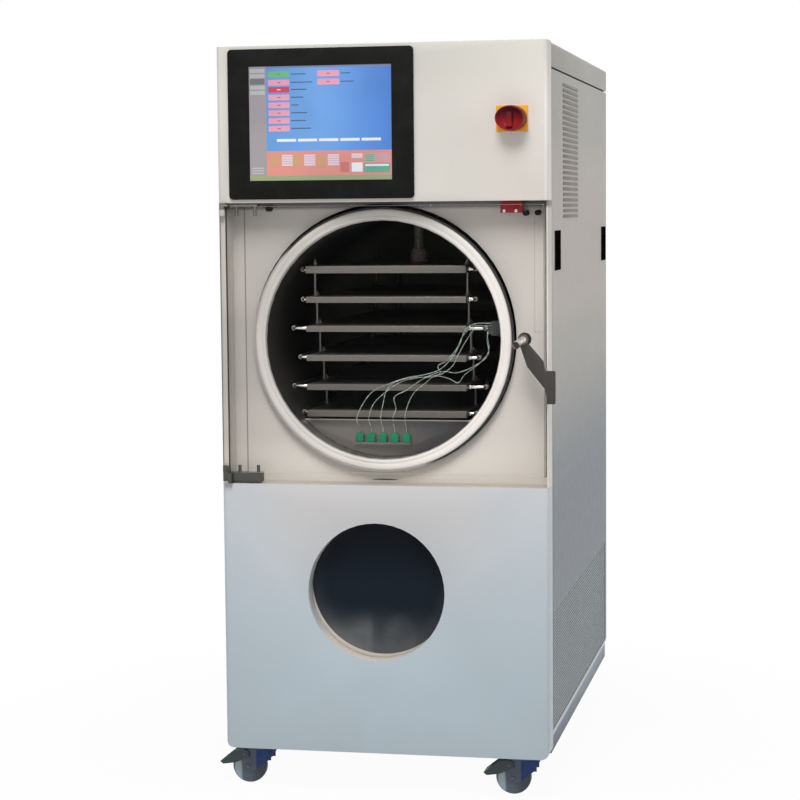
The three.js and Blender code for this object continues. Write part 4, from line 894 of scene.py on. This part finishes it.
# Painted light: the drum's lit floor, a glint and a glow near the rim, over a painted near-black shade.
cloud = pane.noise(14.0, 3.0).ramp(0.2, 0.75, 0.55, 1.0)
cone = across.ramp(-0.038, -0.018, 1.0, 0.0) * (across - below * 1.3 - 0.03).ramp(-0.06, 0.09)
cone = cone * below.ramp(-0.130, -0.060, 1.0, 0.0)
aside, beneath = across - 0.040, below * 0.75 + 0.098
glint = (aside * aside + beneath * beneath).ramp(0.0001, 0.0026, 1.0, 0.0)
floor_lift = below.ramp(-0.170, -0.050, 0.36, 0.0) * across.ramp(0.02, 0.16, 1.0, 0.4)
near_side = across.ramp(-0.15, -0.07, 1.0, 0.0) * below.ramp(-0.15, -0.03, 1.0, 0.0)
painted_floor_light = (cone * 0.34 + glint * 0.14 + floor_lift + near_side * 0.22) * cloud
edge_glow = (across * across + below * below).ramp(0.016, 0.030, 0.0, 0.13)
unlit = below.ramp(-0.02, 0.09).mixed(tone(18, 29, 40), tone(9, 16, 27))
painted_light_behind_glass = painted_floor_light + edge_glow
painted_view_inside = painted_light_behind_glass.math("MINIMUM", painted_light_behind_glass, 1.0).mixed(unlit, tone(140, 143, 144))
rim_reach = across.math("SQRT", across * across + below * below)
past_rim = rim_reach.ramp(sight_radius - 0.001, sight_radius + 0.001)
pane_finish = pane.feed(Base_Color=past_rim.mixed(painted_view_inside, tone(226, 219, 208)),
                        Roughness=pane.noise(11.0, 2.0) * 0.1 + 0.25,
                        Normal=pane.bump(pane.noise(6.0, 1.0), 0.04, 0.001))
window = turned("condenser_pane", ring_profile(window_middle, [
    (0.0, 0.0450), (0.1860, 0.0450), (0.1876, 0.0458), (0.1880, 0.0475), (0.1880, 0.0648), (0.0, 0.0648)]),
    window_middle, (0, 1, 0), 96)
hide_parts("condenser_window")
finished(window, "cabinet", pane_finish, 40)

# ---- Touch screen
# A slim black bezel with rounded corners, sloping in towards a flush display. The display shows
# a plain control page: fields and buttons in plain colours, each a thin raised tile. A tile with
# two colours fades from the first at its left to the second at its right.
bezel_low, bezel_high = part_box("screen_bezel")
glass_low, glass_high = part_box("screen_glass")


def round_chosen(piece, chosen, offset, segments):
    """Rounds the edges of a block whose two ends pass a test."""
    pick(piece)
    bpy.ops.object.mode_set(mode="EDIT")
    bpy.ops.mesh.select_mode(type="EDGE")
    bpy.ops.mesh.select_all(action="DESELECT")
    bpy.ops.object.mode_set(mode="OBJECT")
    for edge in piece.data.edges:
        first, second = (piece.data.vertices[k].co for k in edge.vertices)
        edge.select = chosen(first, second)
    bpy.ops.object.mode_set(mode="EDIT")
    bpy.ops.mesh.bevel(offset=offset, segments=segments)
    bpy.ops.object.mode_set(mode="OBJECT")


bezel = block("bezel", bezel_low, (bezel_high.x, y_of(0), bezel_high.z))
round_chosen(bezel, lambda first, second: abs(first.y - second.y) > 0.004, 0.010, 8)
round_edges(bezel, 0.0022, 3, 60)
carve(bezel, block("display_pocket", (glass_low.x - 0.0004, bezel_low.y - 0.01, glass_low.z - 0.0004),
                   (glass_high.x + 0.0004, y_of(-0.0015), glass_high.z + 0.0004)))
rear_body = block("screen_body", at(-0.339, 0.0, 1.444), at(0.058, 0.038, 1.747), 0.002)
bezel = joined("screen_housing", [bezel, rear_body])
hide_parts("screen_bezel")
bezel_plastic = moulded("bezel_moulding", tone(17, 17, 16), 0.55, 500.0, 0.1, 0.1)
finished(bezel, "cabinet", bezel_plastic)

blue, sky_blue, deep_blue = tone(92, 152, 218), tone(108, 164, 230), tone(64, 128, 216)
grey_bar, light_key, dark_key = tone(160, 152, 156), tone(188, 190, 186), tone(112, 112, 114)
pink, green, crimson = tone(234, 158, 180), tone(104, 186, 116), tone(208, 46, 80)
salmon, tan, pale_pink = tone(226, 142, 128), tone(206, 156, 112), tone(224, 206, 216)
teal, olive, ink, paper = tone(92, 170, 142), tone(152, 166, 118), tone(56, 84, 124), tone(236, 242, 250)
tiles = [(0.0, 1.0, 0.0, 1.0, blue), (0.0, 0.122, 0.0, 0.957, grey_bar),
         (0.122, 1.0, 0.0, 0.018, tone(118, 132, 168)), (0.122, 1.0, 0.742, 0.957, salmon),
         (0.0, 1.0, 0.957, 1.0, olive), (0.122, 0.50, 0.018, 0.742, blue, sky_blue),
         (0.50, 1.0, 0.018, 0.742, sky_blue, deep_blue)]
tiles += [(0.008, 0.112, top, top + 0.034, light_key) for top in (0.020, 0.066, 0.166, 0.212)]
tiles += [(0.008, 0.112, 0.106, 0.156, dark_key)]
tiles += [(0.014, 0.100, top, top + 0.010, light_key) for top in (0.885, 0.907, 0.929)]
button_tops = [0.046, 0.118, 0.180, 0.248, 0.316, 0.384, 0.452, 0.520]
label_ends = [0.40, 0.45, 0.41, 0.385, 0.35, 0.41, 0.40, 0.435]
for row, (top, end) in enumerate(zip(button_tops, label_ends)):
    colour = green if row == 0 else crimson if row == 2 else pink
    tiles += [(0.137, 0.286, top, top + 0.050, colour), (0.298, end, top + 0.020, top + 0.029, ink)]
    tiles += [(0.200, 0.224, top + 0.021, top + 0.029, tone(150, 96, 112) if colour != crimson else paper)]
for top, end in ((0.044, 0.715), (0.116, 0.74)):
    tiles += [(0.485, 0.638, top, top + 0.052, pink), (0.650, end, top + 0.022, top + 0.030, ink),
              (0.548, 0.575, top + 0.022, top + 0.030, tone(150, 96, 112))]
tiles += [(0.195 + 0.149 * k, 0.330 + 0.149 * k, 0.636, 0.660, paper) for k in range(5)]
for left in (0.228, 0.386, 0.553):
    tiles += [(left - 0.082, left - 0.018, 0.775, 0.885, tan), (left, left + 0.078, 0.775, 0.872, pale_pink)]
    tiles += [(left + 0.002, left + 0.076, 0.790 + 0.02 * k, 0.794 + 0.02 * k, tone(196, 140, 150))
              for k in range(4)]
tiles += [(0.640, 0.700, 0.845, 0.930, tone(204, 112, 108)), (0.720, 0.796, 0.770, 0.812, pale_pink),
          (0.720, 0.796, 0.850, 0.930, paper), (0.812, 0.884, 0.770, 0.848, tone(150, 184, 160)),
          (0.888, 0.986, 0.768, 0.848, tone(206, 156, 162)), (0.805, 0.988, 0.858, 0.936, teal),
          (0.815, 0.980, 0.866, 0.882, paper)]
tiles += [(0.816, 0.876, 0.784 + 0.016 * k, 0.788 + 0.016 * k, tone(96, 120, 110)) for k in range(4)]


def on_display(across_share, down_share, depth):
    """A point on the display, by its shares of the width and of the height from the top."""
    return (glass_low.x + across_share * (glass_high.x - glass_low.x), glass_low.y + depth,
            glass_high.z - down_share * (glass_high.z - glass_low.z))


shown = []
for order, (left, right_end, top, bottom, *colours) in enumerate(tiles):
    lift = 0.00008 + 0.00001 * order
    tile = block("tile", on_display(left, bottom, -lift), on_display(right_end, top, 0.0004))
    tint = tile.data.color_attributes.new("tint", "FLOAT_COLOR", "CORNER")
    middle = on_display((left + right_end) / 2, 0, 0)[0]
    for corner_colour, loop in zip(tint.data, tile.data.loops):
        at_right = tile.data.vertices[loop.vertex_index].co.x > middle
        corner_colour.color = colours[-1] if at_right else colours[0]
    shown.append(tile)
page = joined("display_page", shown)
lit = Finish("lit_display", Metallic=0.0, Coat_Weight=0.25, Coat_Roughness=0.08, Emission_Strength=0.62)
pixel = lit.wire.node("Attribute", {"attribute_name": "tint"})
glow = lit.noise(4.0, 2.0).ramp(0.35, 0.65)
dimmed = (glow * 0.22 + 0.04).mixed(pixel, (0.02, 0.05, 0.12, 1))
lit_display = lit.feed(Base_Color=(glow * 0.04 + 0.60).mixed(dimmed, (0.01, 0.01, 0.012, 1)),
                       Emission_Color=dimmed, Roughness=lit.noise(30.0, 2.0) * 0.08 + 0.2)
finished(painted(page, lit_display), "cabinet", smooth=20)
lcd = Finish("lcd_glass", Metallic=0.0, Coat_Weight=0.5, Coat_Roughness=0.05)
lcd_cloud = lcd.noise(6.0, 2.0).ramp(0.3, 0.7)
lcd_glass = lcd.feed(Base_Color=lcd_cloud.mixed(tone(60, 100, 160), tone(44, 78, 130)),
                     Roughness=lcd.noise(20.0, 1.0) * 0.08 + 0.12)
painted(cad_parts["screen_glass"], lcd_glass)

# ---- Main switch
# A rotary isolator: an orange-yellow plate with a dark red knob, dished in its face and crossed
# by a grip that has a rounded upper end.
switch_low, switch_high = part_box("isolator_plate")
yellow_plastic = moulded("yellow_moulding", tone(238, 166, 40), 0.4, 700.0, 0.15)
plate = block("switch_plate", switch_low, switch_high, 0.0012, 3)
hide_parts("isolator_plate")
finished(plate, "cabinet", yellow_plastic)
switch_middle = at(0.312, 0, 1.600)
knob = turned("knob", ring_profile(switch_middle, [
    (0.0, -0.0043), (0.0285, -0.0043), (0.0295, -0.0068), (0.0292, -0.0250), (0.0282, -0.0440),
    (0.0272, -0.0472), (0.0256, -0.0479), (0.0240, -0.0462), (0.0205, -0.0420), (0.0150, -0.0392),
    (0.0070, -0.0384), (0.0, -0.0384)]),
    switch_middle, (0, 1, 0), 64)
pick(knob)
bpy.ops.object.mode_set(mode="EDIT")
bpy.ops.transform.resize(value=(1.2, 1, 1), center_override=switch_middle)
bpy.ops.object.mode_set(mode="OBJECT")
grip = block("grip", at(0.3042, -0.0538, 1.5790), at(0.3198, -0.0380, 1.6135))
round_chosen(grip, lambda first, second: abs(first.y - second.y) > 0.01 and first.z > 1.60, 0.0066, 6)
bpy.ops.object.mode_set(mode="EDIT")
bpy.ops.mesh.select_mode(type="VERT")
bpy.ops.mesh.select_all(action="DESELECT")
bpy.ops.object.mode_set(mode="OBJECT")
for vertex in grip.data.vertices:
    vertex.select = vertex.co.y < y_of(-0.046)
bpy.ops.object.mode_set(mode="EDIT")
bpy.ops.transform.resize(value=(0.78, 1, 0.97), center_override=at(0.312, -0.0538, 1.597))
bpy.ops.object.mode_set(mode="OBJECT")
round_edges(grip, 0.0012, 3, 40)
knob = joined("isolator_handle", [knob, grip])
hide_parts("isolator_knob")
red = Finish("red_moulding", Metallic=0.0, Specular_IOR_Level=0.12)
# Painted shade over the knob's upper part and a painted reflection on the right of its drum.
painted_upper_shade = red.z.ramp(1.584, 1.612)
painted_side_reflection = red.y.ramp(y_of(-0.0455), y_of(-0.0440)) * red.x.ramp(x_of(0.330), x_of(0.338))
red_colour = (painted_side_reflection * 0.5).mixed(painted_upper_shade.mixed(tone(146, 30, 36), tone(92, 24, 30)), tone(96, 40, 22))
red_plastic = red.feed(Base_Color=red_colour, Roughness=red.noise(60.0, 2.0) * 0.16 + 0.34,
                       Normal=red.bump(red.noise(400.0, 2.0), 0.1, 0.0002))
finished(knob, "isolator", red_plastic, 40)

# ---- Door interlock and stops
# A red safety switch with two steel screws hangs under the fascia, and three rubber stops on
# the recess take the door's edge. The stops' faces are dished in the middle.
interlock = dressed("interlock_switch", "interlock", 0.0012, 3)
finished(interlock, "cabinet", moulded("interlock_moulding", tone(160, 40, 42), 0.4, 500.0))
for count, x in enumerate((0.285, 0.313)):
    head = rod("interlock_screw", 0.0042, at(x, 0.0444, 1.3885), at(x, 0.0480, 1.3885), 24, 0.0008)
    carve(head, block("slot", at(x - 0.006, 0.0440, 1.3880), at(x + 0.006, 0.0452, 1.3890)))
    head.name = f"interlock_screw_{count + 1}"
    finished(head, "cabinet", bright_steel)
rubber = moulded("stop_rubber", tone(28, 26, 26), 0.7, 260.0, 0.4)
for number in (1, 2, 3):
    stop_low, stop_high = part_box(f"door_buffer_{number}")
    centre = (stop_low + stop_high) / 2
    radius = (stop_high.x - stop_low.x) / 2
    front, back = stop_low.y, stop_high.y
    profile = [(0.0, front + 0.002), (0.3, front + 0.002), (0.42, front + 0.0002), (0.78, front + 0.0002),
               (1.0, front + 0.003), (1.0, back - 0.006), (0.8, back - 0.005), (0.98, back - 0.003),
               (1.0, back), (0.0, back)]
    outline = [Vector((centre.x, y, centre.z + share * radius)) for share, y in profile]
    stop = turned(f"door_stop_{number}", outline, centre, (0, 1, 0), 40)
    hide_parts(f"door_buffer_{number}")
    finished(stop, "cabinet", rubber, 40)

# ---- Door
# A thick slab of clear cast acrylic with polished faces. Its edges carry a painted highlight and
# are a little less clear, and each hinge strap is bolted up into it. It turns on pins in front of
# the left post.
door_low, door_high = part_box("chamber_door")
clear = Finish("clear_acrylic", Metallic=0.0, Roughness=0.04, Specular_IOR_Level=0.5)
side_gap = clear.x.math("MINIMUM", clear.x - door_low.x, door_high.x - clear.x)
top_gap = clear.z.math("MINIMUM", clear.z - door_low.z, door_high.z - clear.z)
# Painted highlight on the slab's edges.
rim = side_gap.math("MINIMUM", side_gap, top_gap).ramp(0.0004, 0.0022, 1.0, 0.0)
smear = clear.noise(3.0, 3.0, stretch=(1.0, 1.0, 0.6)).ramp(0.45, 0.75)
latch_side = clear.x.ramp(door_high.x - 0.0060, door_high.x - 0.0052)
painted_rim_highlight = rim.mixed(tone(150, 156, 154), tone(196, 200, 196))
clear_acrylic = clear.feed(Base_Color=latch_side.mixed(painted_rim_highlight, tone(88, 78, 72)),
                           Alpha=rim * 0.22 + smear * 0.006 + latch_side * 0.45 + 0.003,
                           Roughness=smear * 0.06 + 0.03)
slab = block("slab", door_low, door_high)
for bolt_x in (-0.355, -0.309):
    carve(slab, rod("bolt_hole", 0.0043, at(bolt_x, 0.024, 0.769), at(bolt_x, 0.024, 0.788), 16),
          rod("bolt_hole", 0.0043, at(bolt_x, 0.024, 1.380), at(bolt_x, 0.024, 1.405), 16))
round_edges(slab, 0.0016, 3, 60)
slab.name = "acrylic_door"
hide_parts("chamber_door")
finished(slab, "door", clear_acrylic, 40)
strap_steel = brushed("strap_steel", tone(132, 128, 121), (1.0, 50.0, 50.0), 0.4, 0.72, 0.7)
hinge_steel = brushed("hinge_steel", tone(84, 84, 79), (1.0, 40.0, 40.0), 0.45, 0.6, 0.6)
finished(dressed("hinge_strap_top", "upper_strap", 0.0007), "door", strap_steel)
finished(dressed("hinge_strap_bottom", "lower_strap", 0.0009), "door", hinge_steel)
finished(dressed("hinge_bracket_top", "upper_bracket", 0.0006), "cabinet", recess_coat)
finished(dressed("hinge_bracket_bottom", "lower_bracket", 0.0006), "cabinet", hinge_steel)

# ---- Latch
# A black boss on the door carries the latch: a steel hub with a leaning round handle and a
# ground plate that reaches down past the door's edge.
plate = Finish("latch_steel", Metallic=0.4)
ground = plate.noise(45.0, 4.0, stretch=(1.0, 1.0, 40.0), rough=0.6)
# Painted light on the plate's lower left flank.
painted_flank_light = plate.x.ramp(x_of(0.3905), x_of(0.3925), 1.0, 0.0) * plate.z.ramp(0.958, 0.972, 1.0, 0.0)
ground_colour = (ground.ramp(0.3, 0.7) * 0.5).mixed(tone(66, 63, 59), tone(54, 51, 48))
latch_steel = plate.feed(Base_Color=(painted_flank_light * 0.6).mixed(ground_colour, tone(150, 146, 141)),
                         Roughness=ground * 0.2 + 0.38, Normal=plate.bump(ground, 0.15, 0.0003))
grip = Finish("handle_steel", Metallic=0.8)
# Painted highlight along the handle's top.
lit_top = grip.z.ramp(1.078, 1.092)
smudge = grip.noise(160.0, 2.0).ramp(0.4, 0.6)
round_end = grip.y.ramp(y_of(-0.0538), y_of(-0.0528), 1.0, 0.0)
shaft_colour = (lit_top * 0.8 + smudge * 0.2).mixed(tone(92, 84, 80), tone(226, 220, 214))
handle_steel = grip.feed(Base_Color=round_end.mixed(shaft_colour, tone(58, 54, 52)),
                         Roughness=smudge * 0.1 + 0.25)
hub_steel = brushed("hub_steel", tone(110, 100, 94), (30.0, 30.0, 30.0), 0.35, 0.6, 0.7)
boss_black = moulded("boss_moulding", tone(24, 22, 20), 0.5, 500.0)
boss_middle = at(0.338, 0, 1.092)
boss = turned("boss", ring_profile(boss_middle, [
    (0.0, -0.0080), (0.0124, -0.0080), (0.0142, -0.0066), (0.0150, -0.0040), (0.0150, 0.0040),
    (0.0158, 0.0050), (0.0158, 0.0058), (0.0, 0.0058)]), boss_middle, (0, 1, 0), 48)
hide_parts("latch_boss")
finished(boss, "door", boss_black, 40)
lever = dressed("latch_lever", "latch", 0.0008, 3)
finished(lever, "latch", latch_steel, 40)
lever.data.materials.append(handle_steel)
lever.data.materials.append(hub_steel)
handle_start, handle_end = at(0.338, -0.0133, 1.092), at(0.324, -0.0543, 1.080)
along = (handle_end - handle_start).normalized()
for face in lever.data.polygons:
    away = Vector(face.center) - handle_start
    reach = away.dot(along)
    if (away - along * reach).length < 0.0105:
        face.material_index = 1 if reach > 0.009 else 2 if reach > 0.0 else 0

# ---- Casters
# Four swivel casters with pressed steel forks, blue thread guards and grey rubber tyres on dark
# hubs. The front pair has a brake pedal that straddles the fork.
caster_steel = brushed("caster_zinc", tone(96, 104, 112), (30.0, 30.0, 30.0), 0.42, 0.65, 0.7)


def reach_ahead(skin, axis, heading):
    """How far a point lies ahead of the swivel's axis, along the fork's own heading."""
    ahead = Vector((math.cos(heading), math.sin(heading)))
    return (skin.x - axis.x) * ahead.x + (skin.y - axis.y) * ahead.y


def hub_cover(name, axis, heading):
    """A smooth cover with a painted highlight along its trailing edge and a painted shade toward
    the swivel.
    """
    cover = Finish(name, Metallic=0.0, Specular_IOR_Level=0.5)
    reach = reach_ahead(cover, axis, heading)
    # Painted highlight along the trailing edge and painted shade toward the swivel.
    pale = reach.ramp(-0.050, -0.043, 1.0, 0.0) * reach.ramp(-0.067, -0.062)
    deep = reach.ramp(-0.040, 0.006).mixed(tone(84, 98, 110), tone(44, 50, 60))
    return cover.feed(Base_Color=pale.mixed(deep, tone(168, 184, 196)),
                      Roughness=cover.noise(60.0, 2.0) * 0.1 + 0.22)


def fork_paint(name, axis, heading):
    """Blue at the swivel and down the trailing edge, dark where the legs hold the wheel."""
    paint = Finish(name, Metallic=0.0, Specular_IOR_Level=0.3)
    legs = reach_ahead(paint, axis, heading).ramp(-0.010, -0.006, 1.0, 0.0)
    worn_paint = paint.noise(60.0, 3.0).ramp(0.4, 0.7)
    blue_paint = (worn_paint * 0.4).mixed(tone(22, 56, 110), tone(16, 40, 84))
    return paint.feed(Base_Color=(legs * 0.95).mixed(blue_paint, tone(84, 93, 104)),
                      Roughness=worn_paint * 0.12 + 0.36)


tyre = Finish("grey_tyre", Metallic=0.0, Specular_IOR_Level=0.35)
scuff = tyre.noise(60.0, 4.0).ramp(0.4, 0.7)
tyre_rubber = tyre.feed(Base_Color=(scuff * 0.5).mixed(tone(58, 66, 74), tone(80, 88, 94)),
                        Roughness=scuff * 0.15 + 0.5,
                        Normal=tyre.bump(tyre.noise(380.0, 3.0), 0.25, 0.0004))
pedal_steel = brushed("pedal_steel", tone(64, 74, 76), (20.0, 20.0, 20.0), 0.4, 0.65, 0.6)
corners = {"front_left": (-0.326, 0.075, 0), "front_right": (0.326, 0.075, 0),
           "rear_left": (-0.326, 1.155, -90), "rear_right": (0.326, 1.155, -90)}
wheel_trail, wheel_radius, cover_radius = 0.028, 0.0425, 0.0403
hub_line = Vector((-wheel_trail, 0, wheel_radius))
half_profile = [(0.0044, 0.0135), (0.0070, 0.0138), (0.0180, 0.0136), (0.0270, 0.0132), (0.0340, 0.0124),
                (0.0380, 0.0110), (0.0400, 0.0098), (0.0406, 0.0092), (0.0412, 0.0094), (0.0422, 0.0060),
                (wheel_radius, 0.0)]
wheel_profile = [(r, -y) for r, y in half_profile] + half_profile[-2::-1] + [(0.0044, -0.0135)]
collar_profile = [(0.0, 0.0865), (0.024, 0.0865), (0.029, 0.0885), (0.0295, 0.0930), (0.0272, 0.0970),
                  (0.0, 0.0970)]
wheel_outline = [hub_line + Vector((0, y, r)) for r, y in wheel_profile]
for corner_name, (x, y, heading) in corners.items():
    axis = at(x, y, 0)
    move = Matrix.Translation((axis.x, axis.y, 0)) @ Matrix.Rotation(math.radians(heading), 4, "Z")
    wheel = painted(turned("wheel", wheel_outline, hub_line, (0, 1, 0), 48), tyre_rubber)
    wheel.data.materials.append(hub_cover(f"hub_cover_{corner_name}", axis, math.radians(heading)))
    for face in wheel.data.polygons:
        face.material_index = 1 if (Vector(face.center) - hub_line).xz.length < cover_radius else 0
    wheel.data.transform(move)
    wheel.name = f"caster_tyre_{corner_name}"
    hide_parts(f"caster_wheel_{corner_name}")
    finished(wheel, f"wheel_{corner_name}", smooth=30)
    guard_blue = fork_paint(f"fork_paint_{corner_name}", axis, math.radians(heading))
    fork = painted(dressed(f"caster_fork_{corner_name}", "fork", 0.0008), guard_blue)
    guards = []
    for side in (-1, 1):
        bolt = rod("axle_bolt", 0.0048, (-wheel_trail, side * 0.0205, wheel_radius),
                   (-wheel_trail, side * 0.0240, wheel_radius), 6, 0.0006)
        skirt = block("skirt", (-0.002, side * 0.0215 - 0.0009, 0.060),
                      (0.030, side * 0.0215 + 0.0009, 0.0905), 0.0006)
        guards += [painted(bolt, caster_steel), painted(skirt, guard_blue)]
    collar = turned("collar", [Vector((r, 0, z)) for r, z in collar_profile], (0, 0, 0), (0, 0, 1), 40)
    guards.append(painted(collar, caster_steel))
    for guard in guards:
        guard.data.transform(move)
    fork = joined(f"caster_frame_{corner_name}", [fork] + guards)
    finished(fork, f"fork_{corner_name}", smooth=35)
    if corner_name.startswith("front"):
        pedal = dressed(f"brake_pedal_{corner_name}", f"pedal_{corner_name}_shown", 0.0009, 3)
        finished(pedal, f"pedal_{corner_name}", pedal_steel, 40)

# ---- Floor, backdrop and light
# A pale floor that fades into a white surround, a broad soft lamp high in front, a weaker one at
# the right, and an even grey light from everywhere else.


def seen_straight(wire):
    """1 for what is seen by the camera, in a reflection or through the clear door."""
    direct, mirrored, through = [wire.node("LightPath", output=k) for k in (0, 3, 6)]
    return direct.math("MAXIMUM", direct, direct.math("MAXIMUM", mirrored, through))


bpy.ops.object.select_all(action="DESELECT")
bpy.ops.mesh.primitive_plane_add(size=40, location=(0, 0, -0.0005))
floor = bpy.context.object
floor.name = "floor"
settle(floor)
ground = Finish("pale_floor", Roughness=0.9, Base_Color=(0.82, 0.82, 0.82, 1))
away = ground.wire.node("VectorMath", {"operation": "LENGTH"}, {0: ground.place}, 1)
white = ground.wire.node("Emission", None, {"Color": (1, 1, 1, 1), "Strength": 1.0})
share = seen_straight(ground.wire) * away.ramp(0.6, 1.7, 0.96, 1.0)
grey_floor = Wire(ground.tree, ground.shader.outputs[0])
blend = ground.wire.node("MixShader", None, {0: share, 1: grey_floor, 2: white})
ground.tree.links.new(blend.socket, ground.tree.nodes["Material Output"].inputs["Surface"])
floor.data.materials.append(ground.material)


def soft_lamp(name, place, aim, size, power):
    lamp = bpy.data.lights.new(name, "AREA")
    lamp.size = size
    lamp.energy = power
    stand = bpy.data.objects.new(name, lamp)
    bpy.context.collection.objects.link(stand)
    aiming = (Vector(aim) - Vector(place)).to_track_quat("-Z", "Y").to_matrix().to_4x4()
    stand.matrix_world = Matrix.Translation(place) @ aiming


soft_lamp("key_lamp", (0.2, -3.8, 5.2), (0, 0, 0.8), 2.0, 185)
soft_lamp("side_lamp", (4.6, -1.0, 3.0), (0, 0, 0.9), 2.5, 20)

world = bpy.data.worlds.new("surround")
bpy.context.scene.world = world
world.use_nodes = True
open_view = seen_straight(Wire(world.node_tree))
surround = world.node_tree.nodes["Background"]
surround.inputs["Color"].default_value = (1, 1, 1, 1)
world.node_tree.links.new((open_view * 0.60 + 0.40).socket, surround.inputs["Strength"])
bpy.context.scene.view_settings.view_transform = "Standard"
